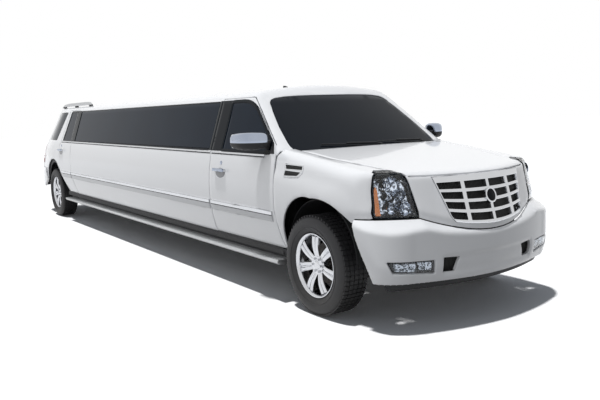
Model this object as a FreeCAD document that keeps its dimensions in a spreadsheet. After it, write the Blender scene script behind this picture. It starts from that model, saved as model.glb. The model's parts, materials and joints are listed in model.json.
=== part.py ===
"""Stretch limousine on a full-size four-door wagon chassis, as a parametric document.

Frame: +Z up, the front faces -Y, +X is the vehicle's left side. The origin is on the ground,
under the middle of the overall length. Millimetres.

The body skins are cut from one shape, the envelope: what is common to the body's cross-section
(drawn from the front), its plan and the slopes of nose, windscreen and tail. An envelope drawn in
by a wall's thickness and taken away from the outer one leaves the wall, and outlines seen from the
side or the front cut that wall into the panels. Running gear, frame and seats are sketched bodies
and primitives bound to the same sheet.
"""
import FreeCAD, Part
import Sketcher
import math
import os
import re
from FreeCAD import Placement, Rotation, Vector

doc = FreeCAD.newDocument("stretch_limousine")

# ---------------------------------------------------------------- driving dimensions
# name, value, what it is
SIZES = [
    ("wheelbase", 7518, "front axle to rear axle, stretch included"),
    ("front_overhang", 990, "front axle to the nose"),
    ("rear_overhang", 1208, "rear axle to the rear bumper"),
    ("half_width", 1003, "widest point of the body side"),
    ("widest_z", 800, "height of the widest point"),
    ("sill_half", 938, "half width at the foot of the doors"),
    ("sill_z", 468, "foot of the doors"),
    ("belt_half", 962, "half width at the belt line"),
    ("belt_z", 1250, "belt line, under the side glass"),
    ("glass_top_half", 800, "half width at the top of the side glass"),
    ("glass_top_z", 1730, "top of the side glass"),
    ("roof_edge_half", 700, "half width where the roof's crown starts"),
    ("roof_edge_z", 1804, "height of that edge"),
    ("roof_z", 1857, "top of the roof's crown"),
    ("skin", 25, "outer skin of a door with its hem"),
    ("fender_wall", 8, "front fender, and the hem of doors and liftgate"),
    ("wall", 60, "body wall below the belt"),
    ("door_depth", 95, "door from skin to inner trim"),
    ("roof_wall", 40, "roof with its lining"),
    ("frame_wall", 28, "window frame"),
    ("glass", 6, "thickness of a pane"),
    ("glass_set", 5, "pane below the skin"),
    ("seal", 0.3, "seal between pane and frame, both sides"),
    ("seam", 9, "shut line round doors, hood and liftgate"),
    ("joint_line", 0.4, "line between panels that don't move"),
    ("hem_width", 20, "width of the thin hem round doors and liftgate"),
    ("door_hem", 26, "inner door inside the skin's outline"),
    ("hinge_inset", 20, "door hinge line inboard of the widest point"),
    ("hinge_lead", 75, "door hinge line ahead of the door's upright edge"),
    ("hinge_lean", 5, "lean of the door hinge line, degrees"),
    ("hinge_radius", 8, "barrel of a hinge"),
    ("hinge_pin", 4.5, "pin of a hinge"),
    ("hinge_low_z", 880, "lower door hinge"),
    ("hinge_high_z", 1110, "upper door hinge"),
    ("hinge_height", 36, "height of a hinge barrel"),
    ("cowl_z", 1305, "foot of the windscreen in the middle"),
    ("cowl_y", 360, "the same, behind the front axle"),
    ("screen_half", 800, "half width of the windscreen's foot"),
    ("screen_bow", 130, "bow of the screen over its half width"),
    ("screen_lean", 1402, "run of the screen back, per 1000 of rise"),
    ("nose_z", 720, "height of the foremost line of the nose panel"),
    ("nose_lean", 285, "run of the nose back, per 1000 of rise"),
    ("hood_front", 868, "hood's front edge ahead of the front axle"),
    ("hood_front_z", 1132, "its height"),
    ("hood_front_half", 612, "its half width"),
    ("hood_rear_half", 800, "half width of the hood's rear edge"),
    ("hood_rear_y", 330, "hood's rear edge behind the front axle"),
    ("hood_wall", 30, "hood with its stiffener"),
    ("bumper_low", 380, "foot of the painted bumper"),
    ("bumper_mid_z", 702, "top of the front bumper in the middle"),
    ("bumper_side_z", 832, "top of the front bumper at the lamps"),
    ("valance_low", 262, "foot of the black valance"),
    ("bumper_wall", 45, "thickness of the bumpers"),
    ("grille_half_top", 469, "half width of the grille's top"),
    ("grille_half_low", 402, "half width at its lower corner"),
    ("grille_low_z", 838, "lower corner of the grille"),
    ("grille_tip_z", 748, "lowest point of the grille, in the middle"),
    ("grille_bar", 16, "width of a grille bar"),
    ("grille_head", 62, "height of the bar across the grille's top"),
    ("grille_depth", 40, "depth of the grille bars"),
    ("lamp_depth", 130, "depth of the headlamps"),
    ("door_front_low", 455, "front door's edge at its foot, behind the front axle"),
    ("door_front_y", 525, "front door's front edge, behind the front axle"),
    ("door_rear_y", 1700, "front door's rear edge, behind the front axle"),
    ("rear_door_front_low", 1148, "rear door's edge at its foot, ahead of the rear axle"),
    ("rear_door_front_y", 1038, "rear door's front edge, ahead of the rear axle"),
    ("rear_door_back", 400, "rear door's rear edge, ahead of the rear axle"),
    ("kink_z", 760, "height where the door edges turn"),
    ("pane_low_z", 1272, "foot of the side panes"),
    ("pane_top_z", 1722, "top of the side panes"),
    ("frame_top_z", 1750, "top of the doors' window frames"),
    ("arch_front_top_z", 940, "top of the front wheel arch"),
    ("arch_rear_top_z", 968, "top of the rear wheel arch"),
    ("tyre_radius", 401, "tyre 265/65 R18, outer radius"),
    ("tyre_width", 265, "its width"),
    ("bead_radius", 229, "bead seat of the 18 inch rim"),
    ("flange_radius", 246, "lip of the rim"),
    ("rim_width", 216, "width of the rim"),
    ("rim_wall", 9, "wall of the rim's barrel"),
    ("spokes", 7, "spokes of a wheel"),
    ("spoke_width", 58, "width of a spoke"),
    ("hub_radius", 78, "hub of the wheel"),
    ("disc_radius", 165, "brake disc"),
    ("disc_wall", 24, "thickness of the brake disc"),
    ("front_track", 1732, "tyre centre to tyre centre"),
    ("rear_track", 1702, "the same at the rear"),
    ("spindle_radius", 30, "wheel spindle"),
    ("bearing_gap", 0.05, "clearance of a wheel bearing"),
    ("kingpin_half", 790, "steering axis from the middle"),
    ("kingpin_radius", 18, "ball joint pin"),
    ("pin_gap", 0.3, "clearance round a ball joint pin"),
    ("arm_low_z", 262, "middle of the lower suspension arm"),
    ("arm_high_z", 548, "middle of the upper suspension arm"),
    ("arm_wall", 30, "thickness of the suspension arms"),
    ("rail_half", 430, "frame rail's middle plane"),
    ("rail_width", 70, "frame rail across"),
    ("rail_depth", 130, "frame rail's depth"),
    ("rail_low_z", 285, "foot of the rails along the cabin"),
    ("rail_rise", 170, "rise of the rails over the axles"),
    ("floor_z", 480, "top of the cabin floor"),
    ("floor_wall", 45, "thickness of the floor"),
    ("floor_half", 820, "half width of the floor"),
    ("axle_radius", 45, "rear axle tube"),
    ("diff_radius", 130, "differential housing"),
    ("shaft_radius", 38, "propeller shaft"),
    ("step_z", 378, "top of the running board"),
    ("step_wall", 50, "height of the running board"),
    ("step_out", 1022, "outer edge of the running board"),
    ("step_in", 860, "inner edge of the running board"),
    ("liner_wall", 6, "wheel arch liner"),
    ("liner_front", 444, "inside radius of a front liner"),
    ("liner_rear", 468, "inside radius of a rear liner"),
    ("gate_hinge_half", 300, "liftgate hinge from the middle"),
    ("gate_hinge_y", 672, "liftgate hinge line behind the rear axle"),
    ("gate_hinge_drop", 35, "liftgate hinge line below the roof's top"),
    ("gate_gap", 12, "gap above the liftgate"),
    ("gate_half", 735, "half width of the liftgate at the belt"),
    ("gate_low_z", 805, "foot of the liftgate"),
    ("gate_split_z", 1190, "foot of the liftgate's pane"),
    ("seat_width", 540, "front seat"),
    ("seat_z", 830, "top of the seat cushions"),
    ("bench_depth", 560, "depth of the lounge benches"),
    ("wheel_radius", 190, "steering wheel"),
    ("driver_half", 400, "seats and steering wheel from the middle"),
    ("cowl_drop", 35, "cowl below the hood's surface"),
    ("roof_rail_half", 706, "roof rail from the middle"),
    ("roof_rail_z", 1872, "top of the roof rails"),
    ("mirror_reach", 1196, "outer end of a door mirror"),
    ("mirror_depth", 150, "door mirror, front to back"),
    ("mirror_height", 158, "door mirror's height"),
]

sheet = doc.addObject("Spreadsheet::Sheet", "Sizes")
for row, (alias, value, note) in enumerate(SIZES, start=1):
    sheet.set(f"A{row}", note)
    sheet.set(f"B{row}", str(value))
    sheet.setAlias(f"B{row}", alias)
doc.recompute()


def size(alias):
    """The value of a cell of the sheet."""
    return float(sheet.get(alias))


# places along the length, from the middle of the overall length
FRONT = size("front_overhang") - (size("wheelbase") + size("front_overhang")
                                  + size("rear_overhang")) / 2
REAR = FRONT + size("wheelbase")
WIDE = size("half_width")
NOSE = FRONT - size("front_overhang")
TAIL = REAR + size("rear_overhang")
TOP = size("roof_z")
FAR = 3000.0
nodes = {}


def keep(node, shape):
    """A node whose shape is worked out in code from the sheet."""
    item = doc.addObject("Part::Feature", node)
    item.Label = node
    item.Shape = shape
    nodes[node] = item
    return item


# ---------------------------------------------------------------- drawings
def at(view, a, b, level=0.0):
    """A point of a drawing: front is (x, z), side is (y, z), plan is (x, y)."""
    if view == "front":
        return Vector(a, level, b)
    if view == "side":
        return Vector(level, a, b)
    return Vector(a, b, level)


def outline(view, path, level=0.0):
    """Face inside a closed path. A step of two numbers ends a line, and a step of four is an
    arc through its first point to its second."""
    edges = []
    here = path[0]
    for step in list(path[1:]) + [path[0]]:
        start, end = at(view, *here, level), at(view, *step[-2:], level)
        if len(step) == 4:
            edges.append(Part.Arc(start, at(view, *step[:2], level), end).toShape())
        elif start.distanceToPoint(end) > 0.001:
            edges.append(Part.LineSegment(start, end).toShape())
        here = step[-2:]
    return Part.Face(Part.Wire(edges))


def both_sides(half):
    """The whole path from its +X half, which starts and ends on the middle line."""
    back = []
    for before, step in zip(half[-2::-1], half[:0:-1]):
        end = (-before[-2], before[-1])
        back.append((-step[0], step[1]) + end if len(step) == 4 else end)
    return half + back


def prism(view, path, low, high):
    """Solid between two levels of a drawing."""
    along = {"front": Vector(0, 1, 0), "side": Vector(1, 0, 0), "plan": Vector(0, 0, 1)}[view]
    return outline(view, path, low).extrude(along * (high - low))


def block(x, y, z):
    """Box from three (low, high) pairs."""
    return Part.makeBox(x[1] - x[0], y[1] - y[0], z[1] - z[0], Vector(x[0], y[0], z[0]))


def drawn_in(face, inset):
    """A face shrunk by inset all round."""
    return face.makeOffset2D(-inset) if inset else face


def mirrored(shape):
    """The shape's twin on the other side of the vehicle."""
    return shape.mirror(Vector(0, 0, 0), Vector(1, 0, 0))


def pair(shape):
    """A piece and its twin, as one node of two solids."""
    return Part.makeCompound([shape, mirrored(shape)])


# ---------------------------------------------------------------- the envelope
SECTION = both_sides([
    (0, 150), (size("sill_half") - 40, 150), (size("sill_half"), size("sill_z")),
    (WIDE - 3, size("widest_z"), size("belt_half"), size("belt_z")),
    (size("glass_top_half"), size("glass_top_z")),
    ((size("glass_top_half") + size("roof_edge_half")) / 2 + 8,
     (size("glass_top_z") + size("roof_edge_z")) / 2 + 11,
     size("roof_edge_half"), size("roof_edge_z")),
    (size("roof_edge_half") / 2, TOP - (TOP - size("roof_edge_z")) / 4, 0, TOP),
])

PLAN = both_sides([
    (0, NOSE), (WIDE - 643, NOSE + 38, WIDE - 303, NOSE + 128),
    (WIDE - 98, NOSE + 245, WIDE - 3, NOSE + 450), (WIDE + 27, NOSE + 610),
    (WIDE + 27, REAR + 250), (WIDE - 18, REAR + 650, WIDE - 68, TAIL - 328),
    (WIDE - 123, TAIL - 148, WIDE - 263, TAIL - 58), (WIDE - 623, TAIL - 13, 0, TAIL),
])

NOSE_PLAN = both_sides([
    (0, NOSE + 5), (WIDE - 753, NOSE + 30, WIDE - 533, NOSE + 95),
    (WIDE - 303, NOSE + 190, WIDE - 143, NOSE + 300), (WIDE - 58, NOSE + 390, WIDE - 3, NOSE + 570),
    (WIDE + 27, NOSE + 690), (WIDE + 27, FRONT + 1500), (0, FRONT + 1500),
])

# the hood's crown: height below its middle line
CROWN = both_sides([
    (0, -1000), (WIDE + 60, -1000), (WIDE + 60, -330), (WIDE - 35, -135),
    (WIDE - 68, -52, WIDE - 163, -22), (WIDE - 573, -6, 0, 0),
])

# the tail's plan at four heights: z, then for each corner of the half plan its x and y:
# end of the straight side, start of the round corner, its middle, its end, back's middle, centre
TAIL_PLANS = [
    (150, (WIDE + 57, REAR - 50), (WIDE - 68, TAIL - 358), (WIDE - 113, TAIL - 198),
     (WIDE - 263, TAIL - 118), (380, TAIL - 82), TAIL - 73),
    (size("gate_low_z"), (WIDE + 57, REAR - 50), (WIDE - 68, TAIL - 358),
     (WIDE - 113, TAIL - 198), (WIDE - 263, TAIL - 118), (380, TAIL - 82), TAIL - 73),
    (size("gate_split_z") - 40, (WIDE + 47, REAR - 150), (WIDE - 117, TAIL - 463),
     (WIDE - 163, TAIL - 283), (WIDE - 283, TAIL - 168), (380, TAIL - 116), TAIL - 103),
    (TOP + 23, (WIDE - 123, REAR - 650), (WIDE - 363, TAIL - 958), (WIDE - 403, TAIL - 748),
     (WIDE - 503, TAIL - 608), (260, TAIL - 536), TAIL - 518),
]


def bow(half_width):
    """How far the windscreen's foot falls back at a distance from the middle."""
    half, depth = size("screen_half"), size("screen_bow")
    radius = (half * half + depth * depth) / (2 * depth)
    return radius - math.sqrt(radius * radius - half_width * half_width)


def screen_path(setback):
    """Plan of all that lies behind the windscreen's foot, set back."""
    foot = FRONT + size("cowl_y") + setback
    return both_sides([(0, foot), (600, foot + bow(600), 1200, foot + bow(1200)),
                       (1200, TAIL + 1000), (0, TAIL + 1000)])


def section(inset):
    """Body cross-section along the whole length."""
    face = drawn_in(outline("front", SECTION, NOSE - 200), inset)
    return face.extrude(Vector(0, TAIL - NOSE + 400, 0))


def plan(inset):
    """Plan of the bumpers."""
    return drawn_in(outline("plan", PLAN, 100), inset).extrude(Vector(0, 0, TOP))


def tail(inset):
    """Body behind the cabin: ruled between its plans."""
    wires = []
    for z, side, start, middle, end, back, centre in TAIL_PLANS:
        half = [(0, FRONT - 1500), (side[0], FRONT - 1500), side, start,
                (middle[0], middle[1], end[0], end[1]), (back[0], back[1], 0, centre)]
        wires.append(drawn_in(outline("plan", both_sides(half), z), inset).OuterWire)
    return Part.makeLoft(wires, True, True)


def behind_screen(inset, low=100.0):
    """All that lies behind the windscreen's surface."""
    lean = size("screen_lean") / 1000
    setback = inset * math.sqrt(1 + lean * lean) - (size("cowl_z") - low) * lean
    rise = TOP + 200 - low
    return outline("plan", screen_path(setback), low).extrude(Vector(0, rise * lean, rise))


def cabin(inset):
    """Cabin and rear body."""
    return section(inset).common([tail(inset)]).common([behind_screen(inset)])


def nose(inset):
    """Fenders, hood and nose panel: leaning nose under the hood's crown."""
    lean = size("nose_lean") / 1000
    low = size("nose_z") - 600
    face = drawn_in(outline("plan", NOSE_PLAN, low), inset)
    face.translate(Vector(0, -600 * lean, 0))
    front = face.extrude(Vector(0, 1400 * lean, 1400))
    start = FRONT - size("hood_front")
    slope = (size("cowl_z") - size("hood_front_z")) / (size("cowl_y") + size("hood_front"))
    crown = drawn_in(outline("front", CROWN, start - 400), inset)
    crown.translate(Vector(0, 0, size("hood_front_z") - 400 * slope))
    crown = crown.extrude(Vector(0, 2400, 2400 * slope))
    return section(inset).common([front]).common([crown])


cabin_outer = cabin(0)
nose_outer = nose(0)
cabin_hem = cabin(size("fender_wall"))
hem_skin = cabin_outer.cut([cabin_hem])
mid_skin = cabin_hem.cut([cabin(size("skin"))])
cabin_wall = cabin_outer.cut([cabin(size("wall"))])
cabin_frame = cabin_outer.cut([cabin(size("frame_wall"))])
door_inner = cabin(size("skin")).cut([cabin(size("door_depth"))])
roof_skin = cabin_outer.cut([cabin(size("roof_wall"))])
pane_skin = cabin(size("glass_set")).cut([cabin(size("glass_set") + size("glass"))])
fender_skin = nose_outer.cut([nose(size("fender_wall"))])
nose_inner = nose(size("hood_wall"))
nose_skin = nose_outer.cut([nose_inner])

# ---------------------------------------------------------------- side outlines
SEAM = size("seam")
LINE = size("joint_line")
KINK = size("kink_z")
BELT = size("belt_z")
PANE_LOW = size("pane_low_z")
PANE_TOP = size("pane_top_z")
FRAME_TOP = size("frame_top_z")
SILL = size("sill_z")
ROOF_JOINT = FRAME_TOP + SEAM
FRONT_ARCH = size("arch_front_top_z")
REAR_ARCH = size("arch_rear_top_z")
DOOR_F = FRONT + size("door_front_y")
DOOR_F_LOW = FRONT + size("door_front_low")
DOOR_R = FRONT + size("door_rear_y")
REAR_F = REAR - size("rear_door_front_y")
REAR_F_LOW = REAR - size("rear_door_front_low")
REAR_B = REAR - size("rear_door_back")

# front arch: from its rear foot over the top to the bumper
ARCH_FRONT_PATH = [
    (FRONT + 420, SILL - 200), (FRONT + 420, FRONT_ARCH - 380),
    (FRONT + 305, FRONT_ARCH - 92, FRONT - 10, FRONT_ARCH),
    (FRONT - 290, FRONT_ARCH - 35, FRONT - 470, FRONT_ARCH - 142),
    (FRONT - 534, FRONT_ARCH - 242), (FRONT - 664, FRONT_ARCH - 480),
    (FRONT - 735, FRONT_ARCH - 560), (FRONT - 735, SILL - 200),
]
# rear arch: from its rear foot over the top to the rear door
ARCH_REAR_PATH = [
    (REAR + 470, SILL - 200), (REAR + 470, REAR_ARCH - 400),
    (REAR + 265, REAR_ARCH - 92, REAR - 20, REAR_ARCH),
    (REAR - 210, REAR_ARCH - 25, REAR - 360, REAR_ARCH - 138),
    (REAR - 477, REAR_ARCH - 265), (REAR - 700, REAR_ARCH - 488), (REAR - 720, SILL - 200),
]


def a_pillar(setback):
    """Edge of the front door along the windscreen pillar, lowest point first."""
    return [(DOOR_F + 8 - setback, BELT + 12), (DOOR_F + 34 - setback, 1338 + setback),
            (DOOR_F + 355 - setback, 1592 + setback), (DOOR_F + 587 - setback, FRAME_TOP + setback)]


def front_door_path():
    """Outline of the front door, from its front foot round the window frame."""
    return ([(DOOR_F_LOW, SILL), (DOOR_F, KINK)] + a_pillar(0)
            + [(DOOR_R, FRAME_TOP), (DOOR_R, SILL)])


def rear_door_path():
    """Outline of the rear door: its rear edge follows the arch and leans forward on top."""
    return [(REAR_F_LOW, SILL), (REAR_F, KINK), (REAR_F, FRAME_TOP), (REAR_B - 190, FRAME_TOP),
            (REAR_B - 70, BELT + 20), (REAR_B, BELT - 60), (REAR_B, REAR_ARCH - 172),
            (REAR_B - 77, REAR_ARCH - 265), (REAR_B - 300, REAR_ARCH - 488),
            (REAR_B - 312, SILL)]


def window(path):
    """Side window cut through the right and left walls."""
    return prism("side", path, -FAR, FAR)


def side_part(shape, path, side=1):
    """What a side outline takes out of a wall, on +X (side 1) or -X (side -1)."""
    low, high = (300.0, FAR) if side > 0 else (-FAR, -300.0)
    return shape.common([prism("side", path, low, high)])


front_window = [(DOOR_F + 100, PANE_LOW), (DOOR_F + 100, 1385), (DOOR_F + 385, 1588),
                (DOOR_F + 612, PANE_TOP), (DOOR_R - 200, PANE_TOP), (DOOR_R - 200, PANE_LOW)]
rear_window = [(REAR_F + 40, PANE_LOW), (REAR_F + 40, PANE_TOP), (REAR_B - 274, PANE_TOP),
               (REAR_B - 155, PANE_LOW)]
LONG_F = DOOR_R + SEAM
LONG_R = REAR_F - SEAM
long_window = [(LONG_F + 50, PANE_LOW), (LONG_F + 50, PANE_TOP), (LONG_R - 150, PANE_TOP),
               (LONG_R - 150, PANE_LOW)]
quarter_window = [(REAR - 160, PANE_LOW + 18), (REAR - 490, PANE_TOP - 7),
                  (REAR + 20, PANE_TOP - 7), (REAR + 365, PANE_LOW + 18)]


def shrunk(path, margin):
    """A straight-sided window path drawn in by a margin."""
    face = drawn_in(outline("side", path), margin)
    return [(v.Y, v.Z) for v in face.OuterWire.OrderedVertexes]


# ---------------------------------------------------------------- doors
HINGE_X = WIDE - size("hinge_inset")
LEAN = math.radians(size("hinge_lean"))
HINGES = {"front": DOOR_F - size("hinge_lead"), "rear": REAR_F - size("hinge_lead")}


def hinge_axis_x(z):
    """Half width of the leaning hinge line at a height."""
    return HINGE_X - (z - size("widest_z")) * math.tan(LEAN)


def hinge_rod(radius, y, z, height):
    """Cylinder on the hinge line, its middle at z."""
    along = Vector(-math.sin(LEAN), 0, math.cos(LEAN))
    foot = Vector(hinge_axis_x(z), y, z) - along * (height / 2)
    return Part.makeCylinder(radius, height, foot, along)


# gooseneck arm of a door hinge, seen from above: out and back from the hinge line
DOOR_ARM = [(6, -5), (-42, 28), (-58, 46), (-50, 68), (-22, 108), (-48, 108), (-74, 80),
            (-80, 48), (-68, 20), (-4, -6)]


def hinge_arm(y, z):
    """Arm from the hinge line round the fixed panel's edge to the door's inner panel."""
    half = size("hinge_height") / 2 - 4
    path = [(hinge_axis_x(z) + out, y + back) for out, back in DOOR_ARM]
    return prism("plan", path, z - half, z + half)


def make_door(name, path, pane, edge_y, hinge_y):
    """Skin with its window, inner panel and the moving halves of its hinges, on +X."""
    inner_path = [(max(y, edge_y), min(z, BELT - 20)) for y, z in path]
    inner_path = [p for i, p in enumerate(inner_path) if p != inner_path[i - 1]]
    shape = side_part(hem_skin, path).fuse([side_part(mid_skin, shrunk(path, size("hem_width")))])
    shape = shape.cut([window(pane)])
    inner = side_part(door_inner, shrunk(inner_path, size("door_hem")))
    shape = shape.fuse([inner])
    for z in (size("hinge_low_z"), size("hinge_high_z")):
        shape = shape.fuse([hinge_arm(hinge_y, z),
                            hinge_rod(size("hinge_radius"), hinge_y, z, size("hinge_height"))])
        shape = shape.cut([hinge_rod(size("hinge_pin") + size("pin_gap"), hinge_y, z, 400)])
    keep(f"{name}_left", shape)
    keep(f"{name}_right", mirrored(shape))
    glass = side_part(pane_skin, shrunk(pane, size("seal")))
    keep(f"{name}_glass_left", glass)
    keep(f"{name}_glass_right", mirrored(glass))


make_door("front_door", front_door_path(), front_window, DOOR_F, HINGES["front"])
make_door("rear_door", rear_door_path(), rear_window, REAR_F, HINGES["rear"])


# ---------------------------------------------------------------- fixed walls of the body
FOOT = SILL - SEAM + LINE
long_side = side_part(cabin_wall, [(LONG_F, FOOT), (LONG_F, BELT), (LONG_R, BELT), (LONG_R, KINK - 3),
                                   (REAR_F_LOW - SEAM, SILL), (REAR_F_LOW - SEAM, FOOT)])
long_frame = side_part(cabin_frame, [(LONG_F, BELT), (LONG_F, ROOF_JOINT - LINE),
                                     (LONG_R, ROOF_JOINT - LINE), (LONG_R, BELT)])
hinge_pocket = cabin_hem.common(
    [block((300, FAR), (REAR_F - 190, REAR_F), (FOOT, BELT - 20))])
POST_IN, POST_OUT = size("floor_half") - 60, size("floor_half") + 6
EAR_WALL, EAR_GAP = 14.0, 1.5


def hinge_brackets(hinge_y):
    """Fixed halves of a door's hinges: two ears and a pin each, on +X."""
    half = size("hinge_height") / 2
    pieces = []
    for z in (size("hinge_low_z"), size("hinge_high_z")):
        x = hinge_axis_x(z)
        ear = [(POST_OUT - 20, hinge_y + 22), (POST_OUT - 20, hinge_y + 62), (x + 7, hinge_y + 8),
               (x + 7, hinge_y - 8), (x - 8, hinge_y - 8)]
        for foot in (z - half - EAR_GAP - EAR_WALL, z + half + EAR_GAP):
            pieces.append(prism("plan", ear, foot, foot + EAR_WALL))
        pieces.append(hinge_rod(size("hinge_pin"), hinge_y, z, 2 * (half + EAR_GAP + EAR_WALL / 2)))
    return pieces


rear_post = [block((POST_IN, POST_OUT), (REAR_F - 240, REAR_F), (700, BELT - 30)),
             block((POST_IN, WIDE - 58), (REAR_F - 240, REAR_F - 190), (700, BELT - 30))]
long_wall = long_side.fuse([long_frame]).cut([window(long_window), hinge_pocket])
long_wall = long_wall.fuse(rear_post + hinge_brackets(HINGES["rear"]))
keep("long_sides", pair(long_wall))

QUARTER_F = REAR_B + SEAM
quarter_low = [(QUARTER_F, REAR_ARCH - 161), (QUARTER_F, BELT), (TAIL, BELT), (TAIL, SILL - 20)]
quarter_high = [(QUARTER_F, BELT), (QUARTER_F, BELT - 55), (QUARTER_F - 66 + 4, BELT + 23),
                (REAR_B - 178, ROOF_JOINT - LINE), (TAIL, ROOF_JOINT - LINE), (TAIL, BELT)]
arch_rear = prism("side", ARCH_REAR_PATH, -FAR, FAR)
arch_front = prism("side", ARCH_FRONT_PATH, -FAR, FAR)
SHELF = size("gate_low_z") - SEAM
BUMPER_FOOT = size("bumper_low") + 60
bumper_shelf = prism("side", [(REAR + 480, 0), (REAR + 480, BUMPER_FOOT), (REAR + 522, SHELF),
                              (TAIL + 50, SHELF), (TAIL + 50, 0)], -FAR, FAR)

# the liftgate and tail lamps, seen from behind
GATE_TOP = FRAME_TOP + 28
GATE_HALF = size("gate_half")
gate_path = both_sides([(0, size("gate_low_z")), (GATE_HALF, size("gate_low_z")),
                        (GATE_HALF, BELT - 70), (GATE_HALF - 215, GATE_TOP), (0, GATE_TOP)])
gate_hole = both_sides([(0, size("gate_low_z") - SEAM), (GATE_HALF + SEAM, size("gate_low_z") - SEAM),
                        (GATE_HALF + SEAM, BELT - 68), (GATE_HALF - 206, GATE_TOP + size("gate_gap")),
                        (0, GATE_TOP + size("gate_gap"))])
gate_pane = both_sides([(0, size("gate_split_z")), (GATE_HALF - 75, size("gate_split_z")),
                        (GATE_HALF - 265, GATE_TOP - 70), (0, GATE_TOP - 70)])
lamp_tail = [(GATE_HALF + 14, 872), (WIDE + 20, 872), (WIDE + 20, 1215), (GATE_HALF + 14, 1215)]
behind = (TAIL - 430, TAIL + 60)
gate_cut = prism("front", gate_hole, TAIL - 900, TAIL + 60)
tail_lamp_cut = pair(prism("front", lamp_tail, *behind))

quarter = side_part(cabin_wall, quarter_low).fuse([side_part(cabin_frame, quarter_high)])
quarter = quarter.cut([window(quarter_window), arch_rear, bumper_shelf, gate_cut, tail_lamp_cut])
keep("quarter_panels", pair(quarter))
lamps = cabin(LINE).cut([cabin(size("skin"))]).common([pair(prism(
    "front", [(GATE_HALF + 14 + LINE, 872 + LINE), (WIDE + 20, 872 + LINE),
              (WIDE + 20, 1215 - LINE), (GATE_HALF + 14 + LINE, 1215 - LINE)],
    *behind))])
keep("tail_lamps", lamps)

long_pane = side_part(pane_skin, shrunk(long_window, size("seal")))
quarter_pane = side_part(pane_skin, shrunk(quarter_window, size("seal")))
keep("fixed_side_glass", Part.makeCompound([long_pane, mirrored(long_pane), quarter_pane,
                                            mirrored(quarter_pane)]))

GATE_AXIS = (REAR + size("gate_hinge_y"), TOP - size("gate_hinge_drop"))
TAIL_SLOPE = math.atan2(TAIL_PLANS[2][6] - TAIL_PLANS[3][6], TAIL_PLANS[3][0] - TAIL_PLANS[2][0])
# gooseneck arm of the liftgate: out from the hinge line across the tail's slope, and down along it
GATE_ARM = [(7, -4), (-46, 8), (-60, 20), (-60, 50), (-12, 90), (-12, 120), (-74, 66), (-76, 14),
            (-52, -6), (-6, -7)]
arm_side = [(GATE_AXIS[0] + out * math.cos(TAIL_SLOPE) + down * math.sin(TAIL_SLOPE),
             GATE_AXIS[1] + out * math.sin(TAIL_SLOPE) - down * math.cos(TAIL_SLOPE))
            for out, down in GATE_ARM]
GATE_HINGE = size("gate_hinge_half")


def across(radius, x, half, axis):
    """Rod along X about a middle point."""
    return Part.makeCylinder(radius, 2 * half, Vector(x - half, *axis), Vector(1, 0, 0))


gate_face = outline("front", gate_path, TAIL - 900)
gate = hem_skin.common([gate_face.extrude(Vector(0, 960, 0))])
gate = gate.fuse([cabin_hem.cut([cabin(size("roof_wall"))]).common(
    [drawn_in(gate_face, size("hem_width")).extrude(Vector(0, 960, 0))])])
gate_pane_cut = prism("front", gate_pane, TAIL - 900, TAIL + 60)
gate = gate.cut([gate_pane_cut])
for x in (-GATE_HINGE, GATE_HINGE):
    gate = gate.fuse([prism("side", arm_side, x - 14, x + 14),
                      across(size("hinge_radius"), x, 14, GATE_AXIS)])
    gate = gate.cut([across(size("hinge_pin") + size("pin_gap"), x, 30, GATE_AXIS)])
keep("liftgate", gate)
keep("liftgate_glass", pane_skin.common([prism("front", [
    (x * (1 - LINE / GATE_HALF), z) for x, z in gate_pane], TAIL - 900, TAIL + 60)]))

# windscreen, seen from the front
SCREEN_LOW = size("cowl_z") - size("cowl_drop") + 2 + LINE
SCREEN_HALF = size("screen_half")
screen = both_sides([(0, SCREEN_LOW), (SCREEN_HALF - 8, SCREEN_LOW),
                     (size("glass_top_half") - 158, FRAME_TOP - 12),
                     (330, FRAME_TOP + 38, 0, FRAME_TOP + 46)])
screen_face = prism("front", screen, FRONT - 100, FRONT + 1500)
screen_hole = outline("front", screen, FRONT - 100).makeOffset2D(LINE).extrude(Vector(0, 1600, 0))
screen_glass = behind_screen(size("glass_set")).cut(
    [behind_screen(size("glass_set") + size("glass"))]).common([screen_face])
keep("windscreen", screen_glass.common([section(size("skin"))]))

# roof with windscreen pillars
roof_path = (a_pillar(SEAM) + [(TAIL + 100, ROOF_JOINT), (TAIL + 100, TOP + 100),
                               (FRONT + 300, TOP + 100), (FRONT + 300, BELT + 12)])
COWL_TOP = size("cowl_z") - size("cowl_drop") + 2
COWL_HALF = SCREEN_HALF - 8
over_cowl = block((-COWL_HALF - LINE, COWL_HALF + LINE), (FRONT, FRONT + 700), (0, COWL_TOP + LINE))
roof = roof_skin.common([prism("side", roof_path, -FAR, FAR)]).cut([screen_hole, gate_cut, over_cowl])
for x in (-GATE_HINGE, GATE_HINGE):
    pocket = cabin_hem.common([block((x - 28, x + 28), (GATE_AXIS[0] - 60, TAIL), (FRAME_TOP - 50, TOP))])
    roof = roof.cut([pocket]).fuse([across(size("hinge_pin"), x, 36, GATE_AXIS)])
keep("roof_shell", roof)

# ---------------------------------------------------------------- front of the body
HOOD_LIP = size("hood_front_z") - 16


def hood_plan(margin):
    """Plan of the hood, grown by a margin; its rear edge follows the windscreen's foot."""
    rear = FRONT + size("cowl_y") - 70 + margin
    side = size("hood_rear_half") + margin
    corner = size("hood_front_half") + margin
    return both_sides([(0, NOSE - 200), (corner, NOSE - 200), (corner, NOSE + 190),
                       (corner + 48, NOSE + 350), (side, rear + bow(side) / 2),
                       (side / 2, rear + bow(side / 2) / 2, 0, rear)])


hood = nose_skin.common([prism("plan", hood_plan(0), HOOD_LIP, TOP)])
HOOD_HINGE = size("hood_rear_half") - 90
hood_cut = prism("plan", hood_plan(SEAM), HOOD_LIP - SEAM, TOP)

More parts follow.
